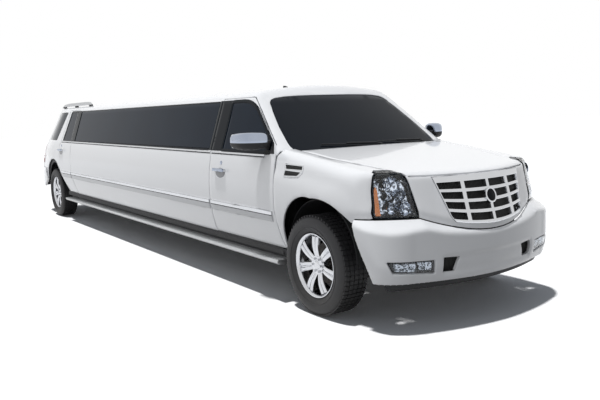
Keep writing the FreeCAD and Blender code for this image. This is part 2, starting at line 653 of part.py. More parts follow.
screen_space = behind_screen(0, BELT + 12 - LINE)
COWL_FOOT = COWL_TOP - 40
FIRE_Y = FRONT + 560
cowl = nose_inner.common(
    [block((-COWL_HALF, COWL_HALF), (FRONT + size("hood_rear_y") - 40, FIRE_Y + 30),
           (COWL_FOOT, COWL_TOP))])
cowl = cowl.cut([prism("plan", hood_plan(SEAM), 0, TOP)])
HOOD_AXIS = (FRONT + size("cowl_y") + 25, COWL_TOP + 2)
cowl = cowl.cut([block((x - 16, x + 16), (FRONT, HOOD_AXIS[0] + 16), (0, TOP))
                 for x in (HOOD_HINGE, -HOOD_HINGE)])
for x in (HOOD_HINGE, -HOOD_HINGE):
    ears = [block((x + a, x + a + 12), (HOOD_AXIS[0] - 9, HOOD_AXIS[0] + 9),
                  (COWL_FOOT + 5, HOOD_AXIS[1] + 8)) for a in (-28, 16)]
    cowl = cowl.fuse(ears + [across(size("hinge_pin"), x, 20, HOOD_AXIS)])
keep("cowl", cowl)
# arm of a hood hinge: back from the hinge line and up
HOOD_ARM = [(-120, -34), (-50, -28), (2, -7), (-2, 7), (-52, -8), (-120, -14)]
arm_side = [(HOOD_AXIS[0] + back, HOOD_AXIS[1] + up) for back, up in HOOD_ARM]
for x in (HOOD_HINGE, -HOOD_HINGE):
    hood = hood.fuse([prism("side", arm_side, x - 14, x + 14),
                      across(size("hinge_radius"), x, 14, HOOD_AXIS)])
    hood = hood.cut([across(size("hinge_pin") + size("pin_gap"), x, 30, HOOD_AXIS)])
keep("hood", hood)

lamp_path = [(630, size("bumper_side_z") + 6), (682, 1140), (828, 1160), (886, 1100),
             (936, size("bumper_side_z") + 14)]
lamp_cut = pair(prism("front", lamp_path, NOSE - 100, FRONT - 420))
lamp_body = nose(LINE).cut([nose(size("lamp_depth"))])
lamp_shape = outline("front", lamp_path, NOSE - 100).makeOffset2D(-LINE).extrude(
    Vector(0, FRONT - 430 - NOSE + 100, 0))
head_lamp = lamp_body.common([lamp_shape])

bumper_top = both_sides([(0, 0), (WIDE + 100, 0), (WIDE + 100, size("bumper_side_z")),
                         (625, size("bumper_side_z")), (330, size("bumper_mid_z") + 42,
                                                        0, size("bumper_mid_z"))])
below_bumper_line = outline("front", bumper_top, NOSE - 100).extrude(Vector(0, 900, 0))
PANEL_HALF = 628
nose_top = prism("front", both_sides([(0, HOOD_LIP - SEAM), (PANEL_HALF - LINE, HOOD_LIP - SEAM),
                                      (PANEL_HALF - LINE, 640), (0, 640)]), NOSE - 100, FRONT - 300)


def grille_path(margin):
    """Outline of the grille, seen from the front."""
    top = HOOD_LIP - SEAM - LINE
    face = outline("front", both_sides([
        (0, size("grille_tip_z")), (220, size("grille_tip_z") + 26, size("grille_half_low"),
                                    size("grille_low_z")),
        (size("grille_half_top"), top - 4), (0, top + 2)]), NOSE - 100)
    return face.makeOffset2D(margin) if margin else face


grille_cut = grille_path(LINE).extrude(Vector(0, 500, 0))
fender_path = [(DOOR_F_LOW - SEAM, SILL), (DOOR_F - SEAM, KINK + 3), (DOOR_F - SEAM, BELT + 160),
               (NOSE - 50, BELT + 160), (NOSE - 50, SILL)]
fender = side_part(fender_skin, fender_path).cut(
    [hood_cut, arch_front, lamp_cut, below_bumper_line, screen_space])
fender = fender.cut([block((0, PANEL_HALF), (NOSE - 50, FRONT - 560), (0, TOP)),
                     block((0, size("hood_rear_half") + SEAM), (FRONT, FRONT + 700), (1100, TOP))])
keep("nose_panel", fender_skin.common([nose_top]).cut([grille_cut, lamp_cut, below_bumper_line]))

# grille: bars in front of a dark screen
bars = nose(4).cut([nose(4 + size("grille_depth"))]).common(
    [grille_path(0).extrude(Vector(0, 500, 0))])
cell_top = HOOD_LIP - SEAM - LINE - size("grille_head")
cell_low = size("grille_low_z") + 8
BAR = size("grille_bar")
rows = 4
row_height = (cell_top - cell_low) / rows
for row in range(rows):
    low = cell_low + row * row_height + (BAR / 2 if row else 0)
    high = cell_low + (row + 1) * row_height - (BAR / 2 if row < rows - 1 else 0)
    for inner, outer in ((0.0, 0.52), (0.52, 1.0)):
        half = [size("grille_half_low") - 18 + (size("grille_half_top")
                - size("grille_half_low")) * (z - cell_low) / (cell_top - cell_low)
                for z in (low, high)]
        first = [max(inner * h, 0) + BAR / 2 + 3 for h in half]
        last = [outer * h - (BAR / 2 + 3 if outer < 1 else 4) for h in half]
        cell = [(first[0], low), (last[0], low), (last[1], high), (first[1], high)]
        if row == 0:
            drop = size("grille_low_z") - size("grille_tip_z") - 20
            cell[0] = (first[0], low - drop * (1 - inner ** 2))
            cell[1] = (last[0], low - drop * (1 - outer ** 2))
        bars = bars.cut([pair(prism("front", cell, NOSE - 100, NOSE + 500))])
keep("grille", bars)
keep("grille_screen", nose(size("grille_depth") + 4.3).cut([nose(size("grille_depth") + 12)]).common(
    [grille_path(-2).extrude(Vector(0, 500, 0))]))

# bumpers
BUMPER = size("bumper_wall")
RAIL_MIN = size("rail_half") - size("rail_width") / 2
RAIL_MAX = size("rail_half") + size("rail_width") / 2
bumper_outer = section(0).common([plan(0)])
bumper_skin = bumper_outer.cut([section(BUMPER).common([plan(BUMPER)])])
front_zone = prism("side", [(NOSE - 100, size("bumper_low")), (FRONT - 725, size("bumper_low")),
                            (FRONT - 664, FRONT_ARCH - 480), (FRONT - 534, FRONT_ARCH - 242),
                            (FRONT - 480, FRONT_ARCH - 100), (NOSE - 100, FRONT_ARCH - 100)],
                   -FAR, FAR)
bumper_shape = outline("front", bumper_top, NOSE - 100).makeOffset2D(-LINE).extrude(
    Vector(0, 900, 0))
front_bumper = bumper_skin.common([front_zone]).common([bumper_shape])
air_cut = [pair(prism("front", [(318, 432), (452, 432), (462, 530), (330, 530)], NOSE - 100,
                      NOSE + 300)),
           pair(prism("front", [(560, 452), (868, 462), (895, 545), (570, 540)], NOSE - 100,
                      NOSE + 300))]
front_stay = block((RAIL_MIN, RAIL_MAX), (NOSE + 78, FRONT - 840.3),
                   (size("rail_low_z") + size("rail_rise"), size("rail_low_z") + size("rail_rise") + 110))
keep("front_bumper", front_bumper.cut(air_cut).fuse([front_stay, mirrored(front_stay)]))
fog = section(BUMPER - 25).common([plan(BUMPER - 25)]).cut([section(BUMPER).common([plan(BUMPER)])])
fog = fog.common([prism("front", [(560.5, 452.5), (867.5, 462.5), (894.3, 544.5), (570.4, 539.5)], NOSE - 100,
                        NOSE + 300)])
keep("front_lamps", Part.makeCompound([head_lamp, mirrored(head_lamp), fog, mirrored(fog)]))
valance = section(30).common([plan(30)]).cut([section(70).common([plan(70)])])
keep("front_valance", valance.common([block((-FAR, FAR), (NOSE - 100, FRONT - 745),
                                            (size("valance_low"), size("bumper_low") - LINE))]))
rear_bumper = bumper_skin.common([prism("side", [
    (REAR + 480 + LINE, BUMPER_FOOT), (TAIL + 100, BUMPER_FOOT),
    (TAIL + 100, SHELF - LINE), (REAR + 522 + LINE, SHELF - LINE)], -FAR, FAR)])
rear_stay = block((RAIL_MIN, RAIL_MAX), (REAR + 1100.3, TAIL - 50),
                  (size("rail_low_z") + size("rail_rise"), size("rail_low_z") + size("rail_rise") + 110))
keep("rear_bumper", rear_bumper.fuse([rear_stay, mirrored(rear_stay)]))
keep("front_fenders", pair(fender))

# ---------------------------------------------------------------- pieces bound to the sheet
NAMES = {alias for alias, value, note in SIZES}
F_AXLE = "(front_overhang - (wheelbase + front_overhang + rear_overhang) / 2)"
R_AXLE = f"({F_AXLE} + wheelbase)"
TURNS = {"x": Rotation(Vector(0, 1, 0), 90), "y": Rotation(Vector(1, 0, 0), -90),
         "z": Rotation()}


def formula(text):
    """An expression with the sheet's name put before each of its aliases."""
    return re.sub(r"[a-z_]+", lambda word: "Sizes." + word[0] if word[0] in NAMES else word[0],
                  str(text))


def bind(item, **sizes):
    """Bind properties to formulas of the sheet's aliases."""
    for name, text in sizes.items():
        item.setExpression(name, formula(text))


def move(item, x, y, z):
    """Bind an object's place."""
    for name, text in (("x", x), ("y", y), ("z", z)):
        item.setExpression(f"Placement.Base.{name}", formula(text))
    return item


def box(x, y, z):
    """Part::Box from three (low, high) pairs of formulas."""
    item = doc.addObject("Part::Box", "Box")
    bind(item, Length=f"({x[1]}) - ({x[0]})", Width=f"({y[1]}) - ({y[0]})",
         Height=f"({z[1]}) - ({z[0]})")
    return move(item, x[0], y[0], z[0])


def rod(axis, radius, length, x, y, z):
    """Part::Cylinder along an axis from its start point."""
    item = doc.addObject("Part::Cylinder", "Rod")
    item.Placement = Placement(Vector(), TURNS[axis])
    bind(item, Radius=radius, Height=length)
    return move(item, x, y, z)


def joined(items, kind="Part::MultiFuse"):
    """One shape from several."""
    item = doc.addObject(kind, "Joined")
    if kind == "Part::Compound":
        item.Links = items
    else:
        item.Shapes = items
    return item


def less(base, tool):
    """Part::Cut."""
    item = doc.addObject("Part::Cut", "Less")
    item.Base, item.Tool = base, tool
    return item


def twin(item):
    """The object's mirror image across the middle plane."""
    other = doc.addObject("Part::Mirroring", "Twin")
    other.Source = item
    other.Normal = Vector(1, 0, 0)
    return other


def name(node, item):
    """Give a finished object its node's name."""
    item.Label = node
    nodes[node] = item
    return item


def drawn(body, role, corners, offset="0"):
    """Closed sketch of straight lines on one of the body's own planes; corners are formulas."""
    plane = next(p for p in body.Origin.OriginFeatures if p.Role == role)
    sketch = body.newObject("Sketcher::SketchObject", body.Name + "Sketch")
    sketch.AttachmentSupport = (plane, [""])
    sketch.MapMode = "FlatFace"
    sketch.setExpression("AttachmentOffset.Base.z", formula(offset))
    count = len(corners)
    turn = 2 * math.pi / count
    start = [Vector(500 + 100 * math.cos(i * turn), 500 + 100 * math.sin(i * turn), 0)
             for i in range(count)]
    for i in range(count):
        sketch.addGeometry(Part.LineSegment(start[i], start[(i + 1) % count]))
    for i in range(count):
        sketch.addConstraint(Sketcher.Constraint("Coincident", i, 2, (i + 1) % count, 1))
    for i, (a, b) in enumerate(corners):
        for kind, value, text in (("DistanceX", start[i].x, a), ("DistanceY", start[i].y, b)):
            index = sketch.addConstraint(Sketcher.Constraint(kind, -1, 1, i, 1, value))
            sketch.setExpression(f"Constraints[{index}]", formula(text))
    return sketch


def pad(label, role, corners, length, offset="0"):
    """PartDesign body padded from a sketch of formulas."""
    body = doc.addObject("PartDesign::Body", label)
    sketch = drawn(body, role, corners, offset)
    feature = body.newObject("PartDesign::Pad", label + "Pad")
    feature.Profile = sketch
    bind(feature, Length=length)
    sketch.Visibility = False
    return body


# ---------------------------------------------------------------- wheels
HALF_RIM = "rim_width / 2"
FACE = "rim_width / 2 - 22"


def wheel(node, track, side, axle):
    """Rim with its hub, brake disc and spokes; its +X end is the outer face."""
    body = doc.addObject("PartDesign::Body", node)
    barrel = drawn(body, "XZ_Plane", [
        (f"-{HALF_RIM}", "bead_radius - rim_wall"), (HALF_RIM, "bead_radius - rim_wall"),
        (HALF_RIM, "flange_radius"), (f"{HALF_RIM} - 10", "flange_radius"),
        (f"{HALF_RIM} - 10", "bead_radius"), (f"-{HALF_RIM} + 10", "bead_radius"),
        (f"-{HALF_RIM} + 10", "flange_radius"), (f"-{HALF_RIM}", "flange_radius")])
    turned = body.newObject("PartDesign::Revolution", node + "Barrel")
    turned.Profile = barrel
    turned.ReferenceAxis = (barrel, ["H_Axis"])
    spoke = drawn(body, "YZ_Plane", [
        ("-spoke_width / 2", "hub_radius - 16"), ("spoke_width / 2", "hub_radius - 16"),
        ("spoke_width / 2 - 6", "bead_radius - rim_wall + 1"),
        ("-spoke_width / 2 + 6", "bead_radius - rim_wall + 1")], f"{FACE} - 30")
    arm = body.newObject("PartDesign::Pad", node + "Spoke")
    arm.Profile = spoke
    bind(arm, Length="30")
    ring = body.newObject("PartDesign::PolarPattern", node + "Spokes")
    ring.Originals = [arm]
    ring.Axis = (next(p for p in body.Origin.OriginFeatures if p.Role == "X_Axis"), [""])
    ring.Angle = 360
    bind(ring, Occurrences="spokes")
    body.Tip = ring
    hub = drawn(body, "XZ_Plane", [
        ("-68", "spindle_radius + bearing_gap"), (f"{FACE} - 22", "spindle_radius + bearing_gap"),
        (f"{FACE} - 22", "0"), (FACE, "0"), (FACE, "hub_radius - 4"),
        (f"{FACE} - 34", "hub_radius"), ("-20", "hub_radius"), ("-20", "disc_radius"),
        ("-20 - disc_wall", "disc_radius"), ("-20 - disc_wall", "hub_radius - 16"),
        ("-68", "hub_radius - 16")])
    middle = body.newObject("PartDesign::Revolution", node + "Hub")
    middle.Profile = hub
    middle.ReferenceAxis = (hub, ["H_Axis"])
    body.Tip = middle
    body.Placement = Placement(Vector(), Rotation(Vector(0, 0, 1), 0 if side > 0 else 180))
    name(node, move(body, f"{side} * {track} / 2", axle, "tyre_radius"))


def tyre(node, track, side, axle):
    """Closed ring on the bead seats, with a flat tread and leaning shoulders."""
    body = doc.addObject("PartDesign::Body", node)
    half = [("rim_width / 2 - 10.3", "bead_radius + 0.3"), ("rim_width / 2 - 10.3", "flange_radius + 3"),
            ("tyre_width / 2 - 8", "flange_radius + 28"), ("tyre_width / 2", "(flange_radius + tyre_radius) / 2"),
            ("tyre_width / 2 - 7", "tyre_radius - 36"), ("tyre_width / 2 - 22", "tyre_radius - 7"),
            ("tyre_width / 2 - 40", "tyre_radius")]
    ring = drawn(body, "XZ_Plane", half + [(f"-({x})", z) for x, z in half[::-1]])
    turned = body.newObject("PartDesign::Revolution", node + "Ring")
    turned.Profile = ring
    turned.ReferenceAxis = (ring, ["H_Axis"])
    name(node, move(body, f"{side} * {track} / 2", axle, "tyre_radius"))


WHEELS = [
    # place, track, side, axle
    ("front_left", "front_track", 1, F_AXLE),
    ("front_right", "front_track", -1, F_AXLE),
    ("rear_left", "rear_track", 1, R_AXLE),
    ("rear_right", "rear_track", -1, R_AXLE),
]
for place, track, side, axle in WHEELS:
    wheel(f"wheel_{place}", track, side, axle)
    tyre(f"tyre_{place}", track, side, axle)

# ---------------------------------------------------------------- front axle
UP_LOW = "arm_low_z + arm_wall / 2 + 6"
UP_HIGH = "arm_high_z - arm_wall / 2 - 6"
HUB_LOW = "tyre_radius - hub_radius"
HUB_HIGH = "tyre_radius + hub_radius"
KNUCKLE_Y = (f"{F_AXLE} - 42", f"{F_AXLE} + 42")
upright = box(("kingpin_half - 25", "kingpin_half + 2"), KNUCKLE_Y, (UP_LOW, UP_HIGH))
feet = [box(("kingpin_half - 25", "kingpin_half + 20"), KNUCKLE_Y, ends)
        for ends in ((UP_LOW, HUB_LOW), (HUB_HIGH, UP_HIGH))]
arm = box(("kingpin_half - 25", "kingpin_half"), (f"{F_AXLE} + 30", f"{F_AXLE} + 165"),
          ("tyre_radius - 60", "tyre_radius - 30"))
spindle = rod("x", "spindle_radius", "front_track / 2 - 4 + rim_width / 2 - 22 - 24 - kingpin_half + 8",
              "kingpin_half - 4", F_AXLE, "tyre_radius")
holes = [rod("z", "kingpin_radius + pin_gap", "40", "kingpin_half - 3", F_AXLE, foot)
         for foot in (f"{UP_LOW} - 20", f"{UP_HIGH} - 20")]
solid = less(joined([upright, arm, spindle] + feet), joined(holes))
name("knuckle_right", twin(name("knuckle_left", solid)))
# arms from the frame to the steering pins, and the member that carries them
LOW_ARM = ("arm_low_z - arm_wall / 2", "arm_low_z + arm_wall / 2")
HIGH_ARM = ("arm_high_z - arm_wall / 2", "arm_high_z + arm_wall / 2")
low_arm = pad("LowArm", "XY_Plane", [
    ("340", f"{F_AXLE} - 170"), ("kingpin_half - 120", f"{F_AXLE} - 40"),
    ("kingpin_half + 22", f"{F_AXLE} - 24"), ("kingpin_half + 22", f"{F_AXLE} + 24"),
    ("kingpin_half - 120", f"{F_AXLE} + 40"), ("340", f"{F_AXLE} + 170")], "arm_wall", LOW_ARM[0])
high_arm = pad("HighArm", "XY_Plane", [
    ("rail_half + rail_width / 2", f"{F_AXLE} - 110"), ("kingpin_half - 120", f"{F_AXLE} - 36"),
    ("kingpin_half + 22", f"{F_AXLE} - 22"), ("kingpin_half + 22", f"{F_AXLE} + 22"),
    ("kingpin_half - 120", f"{F_AXLE} + 36"), ("rail_half + rail_width / 2", f"{F_AXLE} + 110")],
    "arm_wall", HIGH_ARM[0])
low_pin = rod("z", "kingpin_radius", "52", "kingpin_half - 3", F_AXLE, LOW_ARM[0])
high_pin = rod("z", "kingpin_radius", "52", "kingpin_half - 3", F_AXLE,
               "arm_high_z + arm_wall / 2 - 52")
side_arms = joined([low_arm, low_pin])
high_arms = joined([high_arm, high_pin])
member = box(("-340", "340"), (f"{F_AXLE} - 130", f"{F_AXLE} + 130"),
             (LOW_ARM[0], "rail_low_z + rail_rise - 40"))
low_side = joined([side_arms, twin(side_arms), member])
name("front_suspension", joined([low_side, high_arms, twin(high_arms)], "Part::Compound"))

# ---------------------------------------------------------------- frame
RAIL_IN = "rail_half - rail_width / 2"
RAIL_OUT = "rail_half + rail_width / 2"
RISE_F, RISE_R = f"{F_AXLE} + 410", f"{R_AXLE} - 415"
rail_side = [
    (f"{F_AXLE} - 840", "rail_low_z + rail_rise"), (f"{RISE_F} - 130", "rail_low_z + rail_rise"),
    (f"{RISE_F} + 130", "rail_low_z"), (f"{RISE_R} - 130", "rail_low_z"),
    (f"{RISE_R} + 130", "rail_low_z + rail_rise"), (f"{R_AXLE} + 1100", "rail_low_z + rail_rise")]
rail_side += [(y, f"{z} + rail_depth") for y, z in rail_side[::-1]]
rail = pad("Rail", "YZ_Plane", rail_side, "rail_width", RAIL_IN)
members = [box((f"-({RAIL_IN})", RAIL_IN), (y, f"{y} + 80"), (z, f"{z} + rail_depth - 20"))
           for y, z in [
    (f"{F_AXLE} - 800", "rail_low_z + rail_rise"), (f"{F_AXLE} + 1330", "rail_low_z + 10"),
    (f"{F_AXLE} + 2700", "rail_low_z + 10"), (f"{F_AXLE} + 4000", "rail_low_z + 10"),
    (f"{R_AXLE} - 2300", "rail_low_z + 10"), (f"{R_AXLE} - 850", "rail_low_z + 10"),
    (f"{R_AXLE} + 330", "rail_low_z + rail_rise"), (f"{R_AXLE} + 980", "rail_low_z + rail_rise")]]
engine_seat = box((f"-({RAIL_IN})", RAIL_IN), (f"{F_AXLE} - 60", f"{F_AXLE} + 60"),
                  ("rail_low_z + rail_rise - 39.7", "rail_low_z + rail_rise + 60"))
pads = [rod("z", "38", "floor_z - floor_wall - rail_low_z - rail_depth", "rail_half", y,
            "rail_low_z + rail_depth")
        for y in (f"{F_AXLE} + 1200", f"{F_AXLE} + 2600", f"{R_AXLE} - 2800", f"{R_AXLE} - 1400")]
tail_pads = [rod("z", "38", "floor_z + 160 - rail_low_z - rail_rise - rail_depth", "rail_half", y,
                 "rail_low_z + rail_rise + rail_depth")
             for y in (f"{R_AXLE} - 240", f"{R_AXLE} + 700")]
half_frame = joined([rail] + pads + tail_pads)
SHAFT_Z = "rail_low_z + 75"
shaft_hole = rod("y", "shaft_radius + pin_gap", "wheelbase", "0", F_AXLE, SHAFT_Z)
hitch = box(("-32", "32"), (f"{R_AXLE} + 980", f"{R_AXLE} + 1190"),
            ("rail_low_z + rail_rise - 84", "rail_low_z + rail_rise - 20"))
hitch_neck = box(("-60", "60"), (f"{R_AXLE} + 980", f"{R_AXLE} + 1060"),
                 ("rail_low_z + rail_rise - 21", "rail_low_z + rail_rise + 5"))
hitch_bore = box(("-25.4", "25.4"), (f"{R_AXLE} + 1030", f"{R_AXLE} + 1210"),
                 ("rail_low_z + rail_rise - 77.4", "rail_low_z + rail_rise - 26.6"))
frame = joined([half_frame, twin(half_frame), joined(members + [engine_seat, hitch, hitch_neck])])
name("chassis_frame", less(less(frame, shaft_hole), hitch_bore))

# ---------------------------------------------------------------- floor, power train
floor_side = [
    ("floor_half - 35", "floor_z - floor_wall"), ("floor_half - 35", "floor_z - 78"),
    ("sill_half - 14", "floor_z - 78"), ("sill_half - 14", "sill_z - seam"),
    ("floor_half - 10", "sill_z - seam"), ("floor_half - 10", "floor_z")]
floor = pad("Floor", "XZ_Plane", floor_side + [(f"-({x})", z) for x, z in floor_side[::-1]],
            f"({R_AXLE} - 560) - ({F_AXLE} + 520)", f"-({R_AXLE} - 560)")
riser = box(("-600", "600"), (f"{R_AXLE} - 560.5", f"{R_AXLE} - 520"),
            ("floor_z - floor_wall", "floor_z + 200"))
deck = box(("-600", "600"), (f"{R_AXLE} - 521", f"{R_AXLE} + 1040"), ("floor_z + 160", "floor_z + 200"))
inside = cabin(size("wall") + LINE)
DECK_Z = size("floor_z") + 160
rear_deck = inside.common([block((-FAR, FAR), (REAR + 500, REAR + 1040), (DECK_Z, DECK_Z + 40))])
rear_sill = cabin(size("bumper_wall")).cut([cabin(size("wall") + 20)]).common(
    [block((-GATE_HALF, GATE_HALF), (REAR + 700, TAIL), (DECK_Z, SHELF))])
tail_deck = doc.addObject("Part::Feature", "TailDeck")
tail_deck.Shape = rear_deck.fuse([rear_sill])
name("floor_pan", joined([floor, riser, deck, tail_deck]))

engine = box(("-300", "300"), (f"{F_AXLE} - 380", f"{F_AXLE} + 420"),
             ("rail_low_z + rail_rise + 60", "hood_front_z - 130"))
gearbox = box(("-150", "150"), (f"{F_AXLE} + 300", f"{F_AXLE} + 1280"), ("rail_low_z - 20", "floor_z - floor_wall - 6"))
gearbox_neck = box(("-150", "150"), (f"{F_AXLE} + 300", f"{F_AXLE} + 419"), ("rail_low_z - 20", "rail_low_z + rail_rise + 70"))
name("engine_block", joined([engine, gearbox, gearbox_neck]))

tube = rod("x", "axle_radius", "rear_track - 220", "-(rear_track / 2 - 110)", R_AXLE, "tyre_radius")
ends = rod("x", "spindle_radius", "rear_track + rim_width - 96", "-(rear_track / 2 + rim_width / 2 - 48)",
           R_AXLE, "tyre_radius")
housing = rod("x", "diff_radius", "240", "-120", R_AXLE, "tyre_radius")
neck = rod("y", "shaft_radius + 14", "diff_radius + 80", "0", f"{R_AXLE} - diff_radius - 80", SHAFT_Z)
seats = [rod("z", "40", "rail_low_z + rail_rise - tyre_radius", x, R_AXLE, "tyre_radius")
         for x in ("rail_half", "-rail_half")]
name("rear_axle", joined([tube, ends, housing, neck] + seats))
name("propeller_shaft", rod("y", "shaft_radius", f"({R_AXLE} - diff_radius - 80) - ({F_AXLE} + 1280)",
                            "0", f"{F_AXLE} + 1280", SHAFT_Z))
name("fuel_tank", box(("-rail_half + rail_width / 2 + 25", "-shaft_radius - 30"),
                      (f"{R_AXLE} - 2200", f"{R_AXLE} - 870"), ("rail_low_z - 15", "floor_z - floor_wall")))
pipe_length = f"({R_AXLE} + 1130) - ({F_AXLE} + 760)"
pipe = rod("y", "30", pipe_length, "560", f"{F_AXLE} + 760", "rail_low_z + 12")
hangers = [box((RAIL_OUT, "560"), (y, f"{y} + 30"), ("rail_low_z + 4", "rail_low_z + 20"))
           for y in (f"{F_AXLE} + 900", f"{F_AXLE} + 3600", f"{R_AXLE} - 1200")]
muffler = box(("502", "690"), (f"{F_AXLE} + 2300", f"{F_AXLE} + 3000"), ("rail_low_z - 45", "rail_low_z + 65"))
name("exhaust", joined([pipe, muffler] + hangers))

board = pad("Board", "XZ_Plane", [
    ("step_in", "step_z - step_wall"), ("step_out - 24", "step_z - step_wall"),
    ("step_out", "step_z - step_wall + 22"), ("step_out", "step_z - 6"), ("step_out - 8", "step_z"),
    ("step_in", "step_z")], f"({R_AXLE} - 700) - ({F_AXLE} + 470)", f"-({R_AXLE} - 700)")
braces = [box((RAIL_OUT, "step_in + 20"), (y, f"{y} + 50"), ("step_z - 38", "step_z - 8"))
          for y in (f"{F_AXLE} + 760", f"{F_AXLE} + 2060", f"{F_AXLE} + 3300",
                    f"{R_AXLE} - 3100", f"{R_AXLE} - 2000", f"{R_AXLE} - 820")]
running_board = joined([board] + braces)
name("running_boards", joined([running_board, twin(running_board)], "Part::Compound"))
# ---------------------------------------------------------------- body structure and cabin
firewall = block((-POST_OUT, POST_OUT), (FIRE_Y, FIRE_Y + 30), (size("floor_z"), COWL_FOOT))
front_post = block((POST_IN, POST_OUT), (FRONT + 456, FIRE_Y + 1), (700, BELT - 30))
pillar_foot = block((POST_OUT - 20, POST_OUT + 100), (DOOR_F - 40, DOOR_F - 10),
                    (BELT - 60, BELT + 12 - LINE))
front_half = front_post.fuse(hinge_brackets(HINGES["front"]) + [pillar_foot])
keep("firewall", firewall.fuse([front_half, mirrored(front_half)]))

# door mirrors: foot on the door's corner, head swept back
lean_in = (size("belt_half") - size("glass_top_half")) / (size("glass_top_z") - BELT)
MIRROR_Y = FRONT + 612
MIRROR_Z = BELT + 40
reach = size("mirror_reach")


def on_door(z):
    """Half width of the door's window frame at a height."""
    return size("belt_half") - (z - BELT) * lean_in


foot = prism("front", [(on_door(MIRROR_Z) + LINE, MIRROR_Z), (on_door(MIRROR_Z + 78) + LINE, MIRROR_Z + 78),
                       (1000, MIRROR_Z + 70), (1000, MIRROR_Z + 14)], DOOR_F + 26, DOOR_F + 96)
head = prism("plan", [(968, MIRROR_Y - 6), (reach - 76, MIRROR_Y + 66, reach, MIRROR_Y + 190),
                      (reach - 4, MIRROR_Y + 312), (reach - 30, MIRROR_Y + 316),
                      (980, MIRROR_Y + size("mirror_depth"))],
             MIRROR_Z + 4, MIRROR_Z + 4 + size("mirror_height"))
mirror = head.fuse([foot])
keep("mirror_left", mirror)
keep("mirror_right", mirrored(mirror))

# roof rails on feet, and the antenna
over_roof = section(-LINE)
RAIL_X = size("roof_rail_half")
rail_top = size("roof_rail_z")
RAIL_F, RAIL_B = REAR - 1420, REAR + 190
rail_side = [(RAIL_F, rail_top - 52), (RAIL_F + 70, rail_top - 8, RAIL_F + 180, rail_top),
             (RAIL_B - 180, rail_top), (RAIL_B - 70, rail_top - 8, RAIL_B, rail_top - 52),
             (RAIL_B, rail_top - 80), (RAIL_B - 60, rail_top - 80), (RAIL_B - 120, rail_top - 28),
             (RAIL_F + 120, rail_top - 28), (RAIL_F + 60, rail_top - 80), (RAIL_F, rail_top - 80)]
roof_rail = prism("side", rail_side, RAIL_X - 12, RAIL_X + 12)
middle_foot = block((RAIL_X - 12, RAIL_X + 12), ((RAIL_F + RAIL_B) / 2 - 40, (RAIL_F + RAIL_B) / 2 + 40),
                    (rail_top - 80, rail_top - 20))
roof_rail = roof_rail.fuse([middle_foot]).cut([over_roof])
ANTENNA_Y = FRONT + 1800
antenna = prism("side", [(ANTENNA_Y - 70, TOP - 8), (ANTENNA_Y - 20, TOP + 14), (ANTENNA_Y + 22, TOP + 30),
                         (ANTENNA_Y + 34, TOP + 28), (ANTENNA_Y + 30, TOP - 8)], -14, 14).cut([over_roof])
keep("roof_fittings", Part.makeCompound([roof_rail, mirrored(roof_rail), antenna]))

# wheel arch liners: half rings with an inner apron
def liner(axle, centre_z, radius, inner_x, outer_x, hole):
    """Upper half of a wheelhouse on +X."""
    wall = radius + size("liner_wall")
    ring = prism("side", [(axle - wall, centre_z), (axle, centre_z + wall, axle + wall, centre_z),
                          (axle + radius, centre_z), (axle, centre_z + radius, axle - radius, centre_z)],
                 inner_x, outer_x)
    apron = prism("side", [(axle - wall, centre_z), (axle, centre_z + wall, axle + wall, centre_z)],
                  inner_x, inner_x + size("liner_wall"))
    return ring.fuse([apron.cut([hole])])


arm_hole = block((0, FAR), (FRONT - 126, FRONT + 126), (0, size("arm_high_z") + 40))
front_liner = liner(FRONT, size("tyre_radius") + 69, size("liner_front"), RAIL_MAX + LINE, 900, arm_hole)
rear_liner = liner(REAR, size("tyre_radius") + 79, size("liner_rear"), 600 + LINE, 900,
                   block((0, FAR), (REAR - 90, REAR + 90), (0, size("tyre_radius") + 90)))
keep("wheel_liners", Part.makeCompound([front_liner, mirrored(front_liner), rear_liner,
                                        mirrored(rear_liner)]))

# ---------------------------------------------------------------- interior
FLOOR = size("floor_z")
DRIVER = size("driver_half")
DASH_Y = FIRE_Y + 30
dash_side = [(DASH_Y, 860), (DASH_Y, 1215), (DASH_Y + 310, 1180), (DASH_Y + 370, 1110),
             (DASH_Y + 330, 960), (DASH_Y + 270, 860)]
console = block((-130, 130), (DASH_Y + 200, DASH_Y + 950), (FLOOR, 900))
keep("dashboard", prism("side", dash_side, -800, 800).fuse([console]))
RIM = size("wheel_radius")
rim_centre = Vector(DRIVER, DASH_Y + 480, 1130)
column = Vector(0, 0.906, 0.423)
rim = Part.makeTorus(RIM - 15, 15, rim_centre, column)
boss = Part.makeCylinder(55, 40, rim_centre - column * 20, column)
spokes = [Part.makeBox(RIM - 20, 40, 14, Vector(0, -20, -7)) for i in range(3)]
for i, angle in enumerate((0, 180, 270)):
    turn = Rotation(Vector(1, 0, 0), -65).multiply(Rotation(Vector(0, 0, 1), angle))
    spokes[i].Placement = Placement(rim_centre, turn)
post = Part.makeCylinder(24, 150, rim_centre - column * 160, column)
keep("steering_wheel", rim.fuse([boss, post] + spokes).cut([prism("side", dash_side, -800, 800)]))

SEAT_F = FRONT + 1130
seat_side = [(SEAT_F + 20, FLOOR), (SEAT_F + 20, FLOOR + 150), (SEAT_F - 20, 720),
             (SEAT_F - 30, 790, SEAT_F + 40, size("seat_z")), (SEAT_F + 470, size("seat_z") - 40),
             (SEAT_F + 590, 1330), (SEAT_F + 625, 1350), (SEAT_F + 640, 1500), (SEAT_F + 725, 1500),
             (SEAT_F + 735, 1350), (SEAT_F + 620, 700), (SEAT_F + 590, FLOOR)]
half_seat = size("seat_width") / 2
seat = prism("side", seat_side, DRIVER - half_seat, DRIVER + half_seat)
seat = seat.cut([block((low, low + half_seat - 120), (SEAT_F + 500, SEAT_F + 800), (1352, 1600))
                 for low in (DRIVER - half_seat, DRIVER + 120)])
keep("front_seats", pair(seat))

